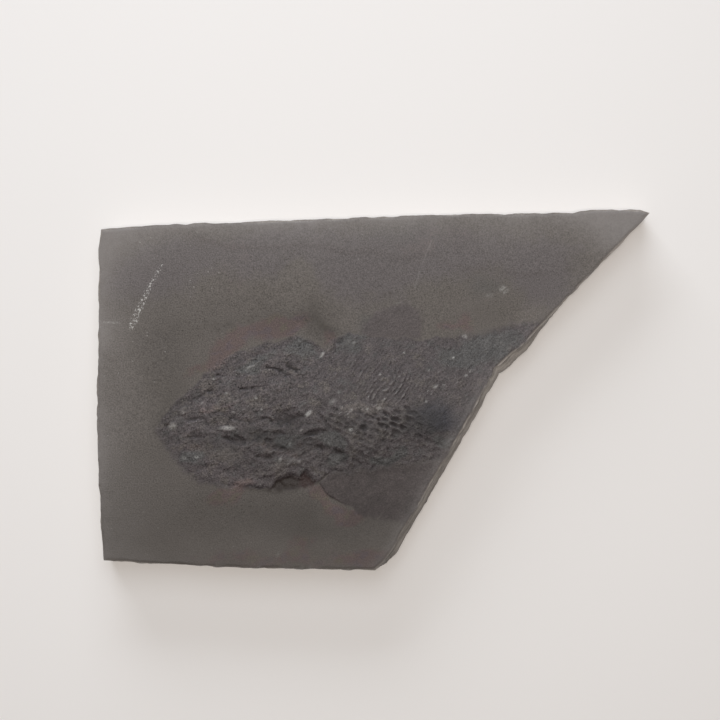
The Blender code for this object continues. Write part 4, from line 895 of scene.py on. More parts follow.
@dataclass
class Slab:
    """The slab: a fine upper face, bedded broken sides and a flat underside, in one closed mesh.

    Attributes:
        thickness: From the base to the bedding plane that the fish lies on.
        columns: Steps of the upper face along X.
        rows: Steps of the upper face along Y.
        triangles: What the mesh is thinned to, where it is smooth.
    """

    face: UpperFace = field(default_factory=UpperFace)
    thickness: float = 11.5
    columns: int = 450
    rows: int = 300
    under_columns: int = 96
    under_rows: int = 64
    triangles: int = 195000
    rim_wear_width: float = 0.55
    rim_wear_depth: float = 0.25
    edge_nibble: float = 0.20
    ledge_reach: float = 0.75
    ledge_inset: float = 0.45
    ledge_free_corner: float = 6.0
    lamina_reach: float = 0.10
    break_slope_depth: float = 3.0
    foot_tuck: float = 0.7
    foot_height: float = 1.6
    bed_step: float = 0.16
    bed_ends: tuple[float, ...] = (0.0, 1.3, 2.1, 3.9, 4.6, 6.9, 7.8, 9.8, 11.5)

    def graded(self, count: int, fine: tuple[float, float]) -> Array:
        """Steps from 0 to 1 that are small over a fine stretch and close to both ends.

        Args:
            count: How many steps there are.
            fine: Where the fine stretch starts and ends.

        Returns:
            The count + 1 places of the steps.
        """
        t = np.linspace(0.0, 1.0, 4001)
        on_fine = smoothstep(fine[0] - 0.03, fine[0], t) * smoothstep(fine[1] + 0.03, fine[1], t)
        at_ends = smoothstep(0.020, 0.008, np.minimum(t, 1.0 - t))
        run = np.cumsum(1.0 + 2.2 * np.maximum(on_fine, at_ends))
        run = (run - run[0]) / (run[-1] - run[0])
        return np.interp(np.linspace(0.0, 1.0, count + 1), run, t)

    def edge_line(self, points: Points, steps: Array, seed: int) -> tuple[Array, Array]:
        """Places along an edge at the given shares of its length, with small chips.

        Args:
            points: The edge's corners.
            steps: Shares of its length, from 0 to 1.
            seed: Seed of its chips.

        Returns:
            The places along X and along Y.
        """
        corners = np.array(points, float)
        run = np.concatenate(([0.0], np.cumsum(np.hypot(*np.diff(corners, axis=0).T))))
        at = steps * run[-1]
        x, y = np.interp(at, run, corners[:, 0]), np.interp(at, run, corners[:, 1])
        ends = smoothstep(0.0, 4.0, at) * smoothstep(0.0, 4.0, run[-1] - at)
        along_x, along_y = np.gradient(x, at), np.gradient(y, at)
        chips = self.edge_nibble * Lumps(2.9, seed).at(at, np.zeros(len(at)))
        chips += 0.35 * self.edge_nibble * Lumps(1.1, seed + 1).at(at, np.zeros(len(at)))
        reach = ends * chips / np.hypot(along_x, along_y)
        return x + along_y * reach, y - along_x * reach

    def mapped(self, u: Array, v: Array, steps_u: Array, steps_v: Array) -> list[Array]:
        """Where each place of the unit square lies in the four-sided outline.

        Args:
            u: Places across the square.
            v: Places up the square.
            steps_u: The steps of its columns.
            steps_v: The steps of its rows.

        Returns:
            The places along X and along Y.
        """
        lines = (
            self.edge_line(LEFT_EDGE, steps_v, 61),
            self.edge_line(BREAK_EDGE, steps_v, 63),
            self.edge_line(BOTTOM_EDGE, steps_u, 65),
            self.edge_line(TOP_EDGE, steps_u, 67),
        )
        placed = []
        for left, right, low, high in zip(*lines):
            sides = (1.0 - u) * np.interp(v, steps_v, left) + u * np.interp(v, steps_v, right)
            ends = (1.0 - v) * np.interp(u, steps_u, low) + v * np.interp(u, steps_u, high)
            near = (1.0 - u) * left[0] + u * right[0]
            far = (1.0 - u) * left[-1] + u * right[-1]
            placed.append(sides + ends - (1.0 - v) * near - v * far)
        return placed

    def add_grid(self, columns: int, rows: int) -> tuple[bpy.types.Object, Array, Array, Array]:
        """Adds a grid and spreads it over the slab's outline.

        Args:
            columns: Steps along X.
            rows: Steps along Y.

        Returns:
            The grid, its places along X and Y, and each vertex's distance from the rim.
        """
        bpy.ops.mesh.primitive_grid_add(x_subdivisions=columns, y_subdivisions=rows, size=2.0)
        grid = bpy.context.object
        places = read_places(grid)
        column = np.rint((places[:, 0] + 1.0) / 2.0 * columns).astype(int)
        row = np.rint((places[:, 1] + 1.0) / 2.0 * rows).astype(int)
        steps_u, steps_v = self.graded(columns, (0.13, 0.97)), self.graded(rows, (0.12, 0.76))
        x, y = self.mapped(steps_u[column], steps_v[row], steps_u, steps_v)
        return grid, x, y, self.from_rim(x, y)

    def from_rim(self, x: Array, y: Array) -> Array:
        """Distance of each place from the slab's outline."""
        edges = (LEFT_EDGE, TOP_EDGE, BOTTOM_EDGE, BREAK_EDGE)
        return np.minimum.reduce([line_distance(x, y, edge) for edge in edges])

    def upper(self) -> bpy.types.Object:
        """The upper face, raised to its relief and worn along its rim."""
        grid, x, y, from_rim = self.add_grid(self.columns, self.rows)
        wear = self.rim_wear_depth * np.exp(-((from_rim / self.rim_wear_width) ** 2))
        wear *= 1.0 + Lumps(4.0, 71).at(x, y) + 0.5 * Lumps(1.3, 72).at(x, y)
        write_places(grid, x, y, self.thickness + self.face.relief(x, y) - wear)
        return grid

    def rim_order(self, slab: bpy.types.Object) -> Array:
        """The open edge's vertices in order, anticlockwise seen from above."""
        edges = np.empty(2 * len(slab.data.edges), int)
        slab.data.edges.foreach_get("vertices", edges)
        edges = edges.reshape(-1, 2)
        loops = np.empty(len(slab.data.loops), int)
        slab.data.loops.foreach_get("edge_index", loops)
        open_edges = edges[np.bincount(loops, minlength=len(edges)) == 1]
        beside: dict[int, list[int]] = {}
        for a, b in open_edges.tolist():
            beside.setdefault(a, []).append(b)
            beside.setdefault(b, []).append(a)
        places = read_places(slab)
        start = min(beside, key=lambda vert: places[vert, 1])
        ring, last, here = [start], start, max(beside[start], key=lambda vert: places[vert, 0])
        while here != start:
            ring.append(here)
            last, here = here, next(vert for vert in beside[here] if vert != last)
        return np.array(ring)

    def side_depths(self) -> list[tuple[int, float]]:
        """The rings of the broken side: the bed that each belongs to, and its depth."""
        rings = []
        for bed, (top, bottom) in enumerate(zip(self.bed_ends, self.bed_ends[1:])):
            rings.append((bed, top + self.bed_step))
            if bottom - top > 1.5:
                rings.append((bed, (top + bottom) / 2.0))
            rings.append((bed, bottom))
        return rings

    def add_sides(self, slab: bpy.types.Object) -> Array:
        """Extrudes the rim down, one ring of the broken side at a time.

        Args:
            slab: The upper face, with its rim open.

        Returns:
            The lowest ring's vertices, in order.
        """
        ring = self.rim_order(slab)
        x, y, z = read_places(slab)[ring].T / MM
        along_x, along_y = np.roll(x, -3) - np.roll(x, 3), np.roll(y, -3) - np.roll(y, 3)
        size = np.hypot(along_x, along_y)
        run = np.concatenate(([0.0], np.cumsum(np.hypot(np.diff(x), np.diff(y)))))
        share_up = (y - BREAK_EDGE[0][1]) / (BREAK_EDGE[-1][1] - BREAK_EDGE[0][1])
        on_break = line_distance(x, y, BREAK_EDGE) < 2.0 * self.edge_nibble
        slope_run = np.where(on_break, np.interp(share_up, *zip(*BREAK_RUN)), 0.0)

        corners = (LEFT_EDGE[0], LEFT_EDGE[-1], BREAK_EDGE[0], BREAK_EDGE[-1])
        from_corner = np.minimum.reduce([np.hypot(x - at_x, y - at_y) for at_x, at_y in corners])
        reach = self.ledge_reach * smoothstep(0.0, self.ledge_free_corner, from_corner)

        select_vertices(slab, ring)
        for count, (bed, depth) in enumerate(self.side_depths()):
            bed_row, lamina_row = np.full(len(run), 464.0 * bed), np.full(len(run), 7.3 * count)
            ledge = 0.65 * Lumps(16.0, 81).at(run, bed_row) + 0.35 * Lumps(5.5, 82).at(run, bed_row)
            start = np.where(on_break, self.break_slope_depth, 0.0)
            out = reach * (ledge - self.ledge_inset) * smoothstep(start, start + 2.0, depth)
            out += self.lamina_reach * Lumps(2.1, 83).at(run, lamina_row)
            out += slope_run * smoothstep(0.0, self.break_slope_depth, depth)
            low = self.thickness - self.foot_height
            out -= self.foot_tuck * smoothstep(low, self.thickness, depth)
            bpy.ops.mesh.extrude_region_move()
            bpy.ops.object.mode_set(mode="OBJECT")
            new = np.flatnonzero(read_selected(slab))
            places = read_places(slab)
            old_order, new_order = np.lexsort(places[ring].T), np.lexsort(places[new].T)
            ring = ring.copy()
            ring[old_order] = new[new_order]
            places[ring, 0] = (x + along_y / size * out) * MM
            places[ring, 1] = (y - along_x / size * out) * MM
            places[ring, 2] = z * (1.0 - depth / self.thickness) * MM
            slab.data.vertices.foreach_set("co", places.ravel())
            bpy.ops.object.mode_set(mode="EDIT")
        bpy.ops.object.mode_set(mode="OBJECT")
        return ring

    def add_underside(self, slab: bpy.types.Object) -> None:
        """Closes the slab with a rough, split underside that is hollowed a little between its rests."""
        grid, x, y, from_rim = self.add_grid(self.under_columns, self.under_rows)
        pull = 1.0 - 3.0 / 80.0
        hollow = 0.5 * smoothstep(2.0, 6.0, from_rim)
        rough = 0.5 + 0.35 * Lumps(23.0, 91).at(x, y) + 0.15 * Lumps(4.0, 92).at(x, y)
        write_places(grid, x * pull, y * pull, hollow * np.maximum(rough, 0.0))
        flip(grid)
        join(slab, grid)
        select_open_edges(slab)
        bpy.ops.mesh.bridge_edge_loops()
        bpy.ops.mesh.select_all(action="SELECT")
        bpy.ops.mesh.normals_make_consistent(inside=False)
        bpy.ops.object.mode_set(mode="OBJECT")

    def thin(self, slab: bpy.types.Object) -> None:
        """Thins the mesh to its count of triangles, where it is smooth."""
        slab.data.calc_loop_triangles()
        modifier = slab.modifiers.new("fewer_triangles", "DECIMATE")
        modifier.ratio = min(1.0, self.triangles / len(slab.data.loop_triangles))
        apply_modifier(slab, modifier)

    def fit(self, slab: bpy.types.Object) -> None:
        """Brings the mesh into the box of the solid that it stands for."""
        low, high = (np.array(corner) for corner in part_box(NODE))
        places = read_places(slab)
        own_low, own_high = places.min(axis=0), places.max(axis=0)
        factor = (high - low)[:2] / (own_high - own_low)[:2]
        places[:, :2] = (places[:, :2] - (own_low + own_high)[:2] / 2.0) * factor
        places[:, :2] += (low + high)[:2] / 2.0
        plane = (self.thickness - 1.0) * MM
        above = places[:, 2] > plane
        squeeze = min(1.0, (high[2] - plane) / (own_high[2] - plane))
        places[above, 2] = plane + (places[above, 2] - plane) * squeeze
        slab.data.vertices.foreach_set("co", places.ravel())

    def paint(self, slab: bpy.types.Object) -> None:
        """Writes each layer's share at each vertex as an attribute."""
        x, y, z = read_places(slab).T / MM
        side = smoothstep(0.06, 0.34, self.thickness + self.face.relief(x, y) - z)
        upper = 1.0 - side
        fossil, _ = self.face.fish.cover(x, y)
        back, belly = self.face.fins.covers(x, y)
        ragged_x, ragged_y = x + 1.6 * Lumps(4.0, 93).at(x, y), y + 1.6 * Lumps(4.3, 94).at(x, y)
        fine, broad = self.face.cavities(x, y, (0.5, 1.4))
        hollow = self.face.in_hollow(x, y)
        bared = (1.0 - 0.7 * hollow) * (1.0 - 0.6 * self.face.fish.on_jaw_edge(x, y) * (1.0 - fossil)) * upper
        layers = {
            Layer.FOSSIL: fossil * upper,
            Layer.BACK_FIN: back * (1.0 - fossil) * upper,
            Layer.BELLY_FIN: belly * (1.0 - fossil) * upper,
            Layer.HOLLOW: hollow * upper,
            # Painted shade: the further a place lies below its surroundings, the darker it is painted; the
            # fish's dark seams and pits add to it, its pale ridges take from it
            Layer.CAVITY: (1.2 * fine + 0.6 * broad - 0.4 * self.face.fish.surface(x, y)[1]) * bared,
            Layer.LIGHT: added(LIGHT_SPOTS, x, y) * upper,
            Layer.BROKEN: side * (0.6 + 0.4 * np.exp(-((line_distance(x, y, BREAK_EDGE) / 5.0) ** 2))),
            # Pale margins: partly rubbed stone powder, partly painted sheen on the upper and left margins and
            # the corner, and painted light along the rim
            Layer.DUST: self.dust_and_painted_light(x, y) * upper,
        }
        for layer, patches in STAINS.items():
            layers[layer] = added(patches, ragged_x, ragged_y) * upper
        layers[Layer.SLATE] -= DARK_FLANK.at(ragged_x, ragged_y) * upper
        for layer, values in layers.items():
            attribute = slab.data.attributes.new(layer.value, "FLOAT", "POINT")
            attribute.data.foreach_set("value", values.astype(np.float32))

    def dust_and_painted_light(self, x: Array, y: Array) -> Array:
        """Pale margins along the left and upper edges and at the sharp corner, partly rubbed stone powder and
        partly painted sheen, and painted light along the rim and inside the lower slanted break.
        """
        # Paler towards the left and upper edges and the sharp corner: partly rubbed stone powder, partly
        # painted sheen
        left = np.exp(-line_distance(x, y, LEFT_EDGE) / 8.0)
        top = np.exp(-line_distance(x, y, TOP_EDGE) / 7.5)
        # Painted light along the rim and inside the lower slanted break, lifting the shade of their
        # downturned slopes
        rim = np.exp(-self.from_rim(x, y) / 1.3)
        low_break = smoothstep(8.0, -4.0, y) * np.exp(-line_distance(x, y, BREAK_EDGE) / 2.0)
        corner = Patch(78.0, 52.0, 14.0, 9.0, 25.0, 0.7).at(x, y)
        uneven = 0.85 + 0.25 * Lumps(9.0, 95).at(x, y)
        shares = 1.05 * left + 1.05 * top + 0.40 * rim + 0.75 * low_break + corner
        return np.clip(shares * uneven, 0.0, 1.5)

    def build(self, material: bpy.types.Material) -> bpy.types.Object:
        """Models the slab and dresses it.

        Args:
            material: The stone's finish.

        Returns:
            The finished piece.
        """
        slab = self.upper()
        self.add_sides(slab)
        self.add_underside(slab)
        self.thin(slab)
        self.fit(slab)
        self.paint(slab)
        slab.name = "shale_slab"
        slab.data.name = "shale_slab"
        slab.data.materials.append(material)
        activate(slab)
        bpy.ops.object.shade_smooth_by_angle(angle=radians(50.0))
        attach(slab, "root")
        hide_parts(NODE)
        return slab


def activate(piece: bpy.types.Object) -> None:
    """Selects one object alone and makes it active."""
    bpy.ops.object.select_all(action="DESELECT")
    piece.select_set(True)
    bpy.context.view_layer.objects.active = piece


def read_places(piece: bpy.types.Object) -> Array:
    """The places of a mesh's vertices, in metres."""
    places = np.empty(3 * len(piece.data.vertices))
    piece.data.vertices.foreach_get("co", places)
    return places.reshape(-1, 3)


def write_places(piece: bpy.types.Object, x: Array, y: Array, z: Array) -> None:
    """Puts a mesh's vertices at places given in millimetres."""
    piece.data.vertices.foreach_set("co", (np.column_stack((x, y, z)) * MM).ravel())
    piece.data.update()


def read_selected(piece: bpy.types.Object) -> Array:
    """Which of a mesh's vertices are selected."""
    selected = np.zeros(len(piece.data.vertices), bool)
    piece.data.vertices.foreach_get("select", selected)
    return selected


def select_vertices(piece: bpy.types.Object, verts: Array) -> None:
    """Goes into edit mode with these vertices selected, and the edges between them."""
    activate(piece)
    bpy.ops.object.mode_set(mode="EDIT")
    bpy.ops.mesh.select_mode(type="EDGE")
    bpy.ops.mesh.select_all(action="DESELECT")
    bpy.ops.object.mode_set(mode="OBJECT")
    chosen = np.zeros(len(piece.data.vertices), bool)
    chosen[verts] = True
    edges = np.empty(2 * len(piece.data.edges), int)
    piece.data.edges.foreach_get("vertices", edges)
    piece.data.vertices.foreach_set("select", chosen)
    piece.data.edges.foreach_set("select", chosen[edges.reshape(-1, 2)].all(axis=1))
    bpy.ops.object.mode_set(mode="EDIT")


def select_open_edges(piece: bpy.types.Object) -> None:
    """Goes into edit mode with the open edges of a mesh selected."""
    activate(piece)
    bpy.ops.object.mode_set(mode="EDIT")
    bpy.ops.mesh.select_mode(type="EDGE")
    bpy.ops.mesh.select_all(action="DESELECT")
    bpy.ops.mesh.select_non_manifold(
        extend=False, use_wire=False, use_multi_face=False, use_non_contiguous=False, use_verts=False
    )


def flip(piece: bpy.types.Object) -> None:
    """Turns a mesh's faces over."""
    activate(piece)
    bpy.ops.object.mode_set(mode="EDIT")
    bpy.ops.mesh.select_all(action="SELECT")
    bpy.ops.mesh.flip_normals()
    bpy.ops.object.mode_set(mode="OBJECT")


def join(piece: bpy.types.Object, other: bpy.types.Object) -> None:
    """Joins another mesh to a piece."""
    activate(piece)
    other.select_set(True)
    bpy.ops.object.join()


def apply_modifier(piece: bpy.types.Object, modifier: bpy.types.Modifier) -> None:
    """Applies one modifier of a piece."""
    activate(piece)
    bpy.ops.object.modifier_apply(modifier=modifier.name)


Value = Union["Socket", float]


class Socket:
    """One output of a material's nodes. Arithmetic on it adds Math nodes."""

    def __init__(self, graph: "Graph", output: bpy.types.NodeSocket) -> None:
        """Wraps an output of one of the graph's nodes."""
        self.graph = graph
        self.output = output

    def __add__(self, other: Value) -> "Socket":
        """The sum."""
        return self.graph.math("ADD", self, other)

    def __sub__(self, other: Value) -> "Socket":
        """The difference."""
        return self.graph.math("SUBTRACT", self, other)

    def __rsub__(self, other: Value) -> "Socket":
        """The difference, the other way round."""
        return self.graph.math("SUBTRACT", other, self)

    def __mul__(self, other: Value) -> "Socket":
        """The product."""
        return self.graph.math("MULTIPLY", self, other)

    def __truediv__(self, other: Value) -> "Socket":
        """The quotient."""
        return self.graph.math("DIVIDE", self, other)

    def __rtruediv__(self, other: Value) -> "Socket":
        """The quotient, the other way round."""
        return self.graph.math("DIVIDE", other, self)

    def __pow__(self, other: Value) -> "Socket":
        """The power."""
        return self.graph.math("POWER", self, other)

    def __neg__(self) -> "Socket":
        """The value with its sign turned."""
        return self.graph.math("MULTIPLY", self, -1.0)

    __radd__ = __add__
    __rmul__ = __mul__


class Graph:
    """The nodes of one material."""

    def __init__(self, material: bpy.types.Material) -> None:
        """Takes a material's nodes and its shader."""
        material.use_nodes = True
        self.tree = material.node_tree
        self.shader = self.tree.nodes["Principled BSDF"]

    def node(self, kind: str, settings: dict, values: dict, output: Union[int, str] = 0) -> Socket:
        """Adds a node.

        Args:
            kind: The node's type.
            settings: Its settings, by name, which are set first.
            values: Values or links for its inputs, by name or number.
            output: Which of its outputs is wanted.

        Returns:
            That output.
        """
        made = self.tree.nodes.new(kind)
        for name, setting in settings.items():
            setattr(made, name, setting)
        for name, value in values.items():
            self.feed(made.inputs[name], value)
        return Socket(self, made.outputs[output])

    def feed(self, socket: bpy.types.NodeSocket, value: object) -> None:
        """Links a socket to an output, or sets its value."""
        if isinstance(value, Socket):
            self.tree.links.new(value.output, socket)
        elif isinstance(value, tuple) and len(value) == 3 and socket.type == "RGBA":
            socket.default_value = (*value, 1.0)
        else:
            socket.default_value = value

    def math(self, operation: str, *values: Value, clamp: bool = False) -> Socket:
        """Adds a Math node."""
        settings = {"operation": operation, "use_clamp": clamp}
        return self.node("ShaderNodeMath", settings, dict(enumerate(values)))

    def clamped(self, value: Value) -> Socket:
        """The value, held between 0 and 1."""
        return self.math("ADD", value, 0.0, clamp=True)

    def step(self, low: float, high: float, value: Value) -> Socket:
        """0 at low, 1 at high, and an even curve between them."""
        values = {"Value": value, "From Min": low, "From Max": high}
        return self.node("ShaderNodeMapRange", {"interpolation_type": "SMOOTHSTEP"}, values)

    def layer(self, layer: Layer) -> Socket:
        """A layer painted on the mesh."""
        settings = {"attribute_name": layer.value, "attribute_type": "GEOMETRY"}
        return self.node("ShaderNodeAttribute", settings, {}, "Fac")

    def places(self) -> Socket:
        """The object's own coordinates, in metres."""
        return self.node("ShaderNodeTexCoord", {}, {}, "Object")

    def stretched(self, places: Socket, scale: tuple[float, float, float], turn: float) -> Socket:
        """Coordinates turned about Z, in degrees, and stretched."""
        values = {"Vector": places, "Scale": scale, "Rotation": (0.0, 0.0, radians(turn))}
        return self.node("ShaderNodeMapping", {"vector_type": "TEXTURE"}, values)

    def noise(self, places: Socket, size: float, detail: float = 2.0, rough: float = 0.5) -> Socket:
        """Soft noise from -1 to 1.

        Args:
            places: The coordinates it follows.
            size: Size of its lumps in millimetres.
            detail: How many finer layers it has.
            rough: How strong those layers are.

        Returns:
            The noise.
        """
        values = {"Vector": places, "Scale": 1.0 / (size * MM), "Detail": detail, "Roughness": rough}
        return self.node("ShaderNodeTexNoise", {}, values, "Fac") * 2.0 - 1.0

    def dots(self, places: Socket, size: float, radius: float) -> tuple[Socket, Socket]:
        """Small dots, one to a cell.

        Args:
            places: The coordinates they follow.
            size: Size of a cell in millimetres.
            radius: A dot's radius, as a share of the cell.

        Returns:
            1 in a dot and 0 away from it, and each dot's own number from 0 to 1.
        """
        values = {"Vector": places, "Scale": 1.0 / (size * MM)}
        near = self.node("ShaderNodeTexVoronoi", {}, values, "Distance")
        own = self.node("ShaderNodeTexVoronoi", {}, values, "Color")
        number = self.node("ShaderNodeSeparateColor", {}, {"Color": own}, "Red")
        return self.step(radius, 0.6 * radius, near), number

    def mix(self, share: Value, under: object, over: object) -> Socket:
        """One colour over another.

        Args:
            share: How much of the upper one shows.
            under: The lower colour.
            over: The upper colour.

        Returns:
            The mixed colour.
        """
        settings = {"data_type": "RGBA", "blend_type": "MIX", "clamp_factor": True}
        return self.node("ShaderNodeMix", settings, {0: share, 6: under, 7: over}, 2)

    def toned(self, colour: object, factor: Value) -> Socket:
        """A colour made lighter or darker by a factor."""
        values = {0: colour, "Scale": factor}
        return self.node("ShaderNodeVectorMath", {"operation": "SCALE"}, values)

    def from_line(self, x: Socket, y: Socket, start: Spot, end: Spot) -> Socket:
        """Distance from a straight line between two points, all in millimetres."""
        dx, dy = end[0] - start[0], end[1] - start[1]
        length = dx * dx + dy * dy
        off_x, off_y = x - start[0], y - start[1]
        t = self.clamped((off_x * dx + off_y * dy) * (1.0 / length))
        away_x, away_y = off_x - t * dx, off_y - t * dy
        return self.math("SQRT", away_x * away_x + away_y * away_y)


class Textures:
    """The stone's textures, each made once and shared by the layers of its finish."""

    def __init__(self, graph: Graph) -> None:
        """Makes them from the object's own coordinates."""
        self.places = graph.places()
        self.x, self.y = (
            graph.node("ShaderNodeSeparateXYZ", {}, {"Vector": self.places}, axis) / MM for axis in "XY"
        )
        self.grain = graph.noise(self.places, 0.42, 2.0, 0.7)
        self.coarse = graph.noise(self.places, 2.6, 3.0, 0.6)
        self.patchy = graph.noise(self.places, 4.0, 3.0, 0.65)
        self.mottle = graph.noise(self.places, 14.0, 4.0, 0.6)
        self.streaks = graph.noise(graph.stretched(self.places, (2.4, 0.8, 1.0), 32.0), 1.0, 3.0, 0.7)
        self.specks = graph.noise(self.places, 0.50, 1.0, 0.6)
        self.tints = graph.noise(graph.stretched(self.places, (1.4, 1.0, 1.0), 20.0), 3.1, 2.0, 0.6)


Layers = dict[Layer, Socket]


@dataclass(frozen=True)
class ShaleFinish:
    """Dark shale: warm grey, finely grained matrix, and a blacker, glossier fossil.

    Attributes:
        matrix: Bare stone.
        matrix_pale: Its paler mottles.
        mauve: Its redder mottles.
        fossil: Bone and scale.
        pit: The floor of pits and seams, also painted shade wherever a place lies below its surroundings.
        ridge: Rubbed ridges.
        film: The film of the fin on the belly.
        back_film: The film of the fin on the back.
        hollow: The bed under the fossil, where it has come away, darkened as painted shadow under the fish's
            overhanging edge.
        hollow_red: Its redder half.
        rust: Rusty stains.
        violet: Their bluer places.
        ochre: Their yellower places.
        smudge: Dark stains and specks.
        worn: Places where the bone is worn through to the stone.
        slate: Greenish grey places.
        blue_black: The smooth dark place on the flank.
        dust_and_painted_light: Pale margins: partly rubbed stone powder, partly painted sheen and painted
            light along the rim.
        broken: The broken side.
        broken_dark: Its darker laminae.
        glint_and_pale_mark: White of the painted glints on the bone, and of the pale flecks, scratch, dash
            and crack of the stone.
    """

    matrix: Colour = (0.092, 0.0815, 0.0725)
    matrix_pale: Colour = (0.110, 0.0980, 0.0900)
    mauve: Colour = (0.0965, 0.0855, 0.0865)
    fossil: Colour = (0.060, 0.0510, 0.0535)
    pit: Colour = (0.014, 0.011, 0.011)
    ridge: Colour = (0.165, 0.155, 0.150)
    film: Colour = (0.060, 0.0490, 0.0490)
    back_film: Colour = (0.074, 0.0625, 0.0635)
    hollow: Colour = (0.021, 0.0138, 0.0108)
    hollow_red: Colour = (0.028, 0.0115, 0.0100)
    rust: Colour = (0.102, 0.0730, 0.0700)
    violet: Colour = (0.092, 0.0700, 0.0755)
    ochre: Colour = (0.102, 0.0840, 0.0680)
    smudge: Colour = (0.050, 0.043, 0.036)
    worn: Colour = (0.080, 0.0700, 0.0655)
    slate: Colour = (0.059, 0.0600, 0.0600)
    blue_black: Colour = (0.037, 0.0370, 0.0490)
    dust_and_painted_light: Colour = (0.260, 0.244, 0.238)
    broken: Colour = (0.390, 0.362, 0.334)
    broken_dark: Colour = (0.240, 0.217, 0.200)
    glint_and_pale_mark: Colour = (0.62, 0.62, 0.60)
    matrix_roughness: float = 0.56
    fossil_roughness: float = 0.46
    specular_level: float = 0.2

    def build(self) -> bpy.types.Material:
        """Makes the material."""
        material = bpy.data.materials.new("dark_shale")
        graph = Graph(material)
        textures = Textures(graph)
        layers = {layer: graph.layer(layer) for layer in Layer}

        ragged = textures.coarse * 0.30 + textures.grain * 0.40
        on_bone = graph.step(0.15, 0.75, layers[Layer.FOSSIL] + ragged)
        stone, bone = self.stone(graph, textures, layers), self.bone(graph, textures, layers)
        colour = graph.mix(on_bone, stone, bone)
        # The hollow under the belly: its dark, redder bed, darkened further as painted shadow under the
        # fish's edge
        shale = graph.mix(graph.step(-23.5, -21.5, textures.x), self.hollow, self.hollow_red)
        colour = graph.mix(layers[Layer.HOLLOW] * (0.9 + textures.grain * 0.5), colour, shale)
        colour = self.sparks(graph, textures, layers, colour)
        colour = self.side(graph, textures, layers, colour)
        # Painted light: the whole stone darkens towards the bottom and pales towards its upper edge, standing
        # in for the sheen and fall of the light from behind that edge
        colour = graph.toned(colour, 0.72 + graph.step(-60.0, 24.0, textures.y) * 0.27)
        graph.feed(graph.shader.inputs["Base Color"], colour)

        gloss = layers[Layer.FOSSIL] * (self.matrix_roughness - self.fossil_roughness)
        rough = self.matrix_roughness - gloss + textures.coarse * 0.05 + layers[Layer.CAVITY] * 0.25
        rough = graph.math("MINIMUM", graph.math("MAXIMUM", rough, 0.32), 0.92)
        graph.feed(graph.shader.inputs["Roughness"], rough)
        graph.feed(graph.shader.inputs["Specular IOR Level"], self.specular_level)
        self.relief(graph, textures, layers)
        return material

    def stone(self, graph: Graph, textures: Textures, layers: Layers) -> Socket:
        """The bare matrix, with its stains, specks and pale margins, which are partly rubbed stone powder and
        partly painted sheen and light.
        """
        grain, coarse = textures.grain, textures.coarse
        colour = graph.mix(0.5 + textures.mottle * 0.9, self.matrix, self.matrix_pale)
        mauve = graph.step(0.1, 0.9, layers[Layer.MAUVE] + coarse * 0.4 + grain * 0.2)
        colour = graph.mix(mauve * 0.9, colour, self.mauve)
        rust = layers[Layer.RUST] + coarse * 0.45 + grain * 0.3
        colour = graph.mix(graph.step(0.15, 0.90, rust) * 0.9, colour, self.stain(graph, textures))
        colour = graph.mix(layers[Layer.SLATE] * 0.5, colour, self.slate)
        film = graph.step(0.15, 0.75, layers[Layer.BELLY_FIN] + coarse * 0.2 + grain * 0.1)
        mottled = graph.toned(self.film, 1.0 + textures.streaks * 0.50 + textures.patchy * 0.40)
        colour = graph.mix(film * 0.92, colour, mottled)
        film = graph.step(0.05, 0.95, layers[Layer.BACK_FIN] + coarse * 0.7 + grain * 0.4)
        mottled = graph.toned(self.back_film, 1.0 + textures.streaks * 0.45)
        colour = graph.mix(film * 0.85, colour, mottled)
        smudge = graph.step(0.0, 1.3, layers[Layer.SMUDGE] + coarse * 0.9 + grain * 1.6)
        colour = graph.mix(smudge * layers[Layer.SMUDGE], colour, self.smudge)
        dot, own = graph.dots(textures.places, 0.75, 0.42)
        specks = dot * graph.step(0.0, 0.25, graph.clamped(layers[Layer.SPECKS]) * 0.8 - own * 0.9 + 0.12)
        colour = graph.mix(specks * 0.64, colour, self.smudge)
        # Pale margins: partly rubbed stone powder, partly painted sheen, and painted light along the rim
        dust_and_painted_light_share = graph.clamped(layers[Layer.DUST] * (0.8 + coarse * 0.2))
        colour = graph.mix(dust_and_painted_light_share * 0.6, colour, self.dust_and_painted_light)
        amount = (0.45 + graph.step(-50.0, -26.0, textures.y) * 0.55) * (1.0 - dust_and_painted_light_share * 0.8)
        shade = 1.0 + layers[Layer.SHADE] * 0.45
        return graph.toned(colour, shade * (1.0 + grain * amount + coarse * 0.10))

    def stain(self, graph: Graph, textures: Textures) -> Socket:
        """The colour of the rusty stains, from violet to ochre."""
        colour = graph.mix(graph.step(0.05, 0.35, textures.tints), self.rust, self.ochre)
        return graph.mix(graph.step(-0.05, -0.30, textures.tints), colour, self.violet)

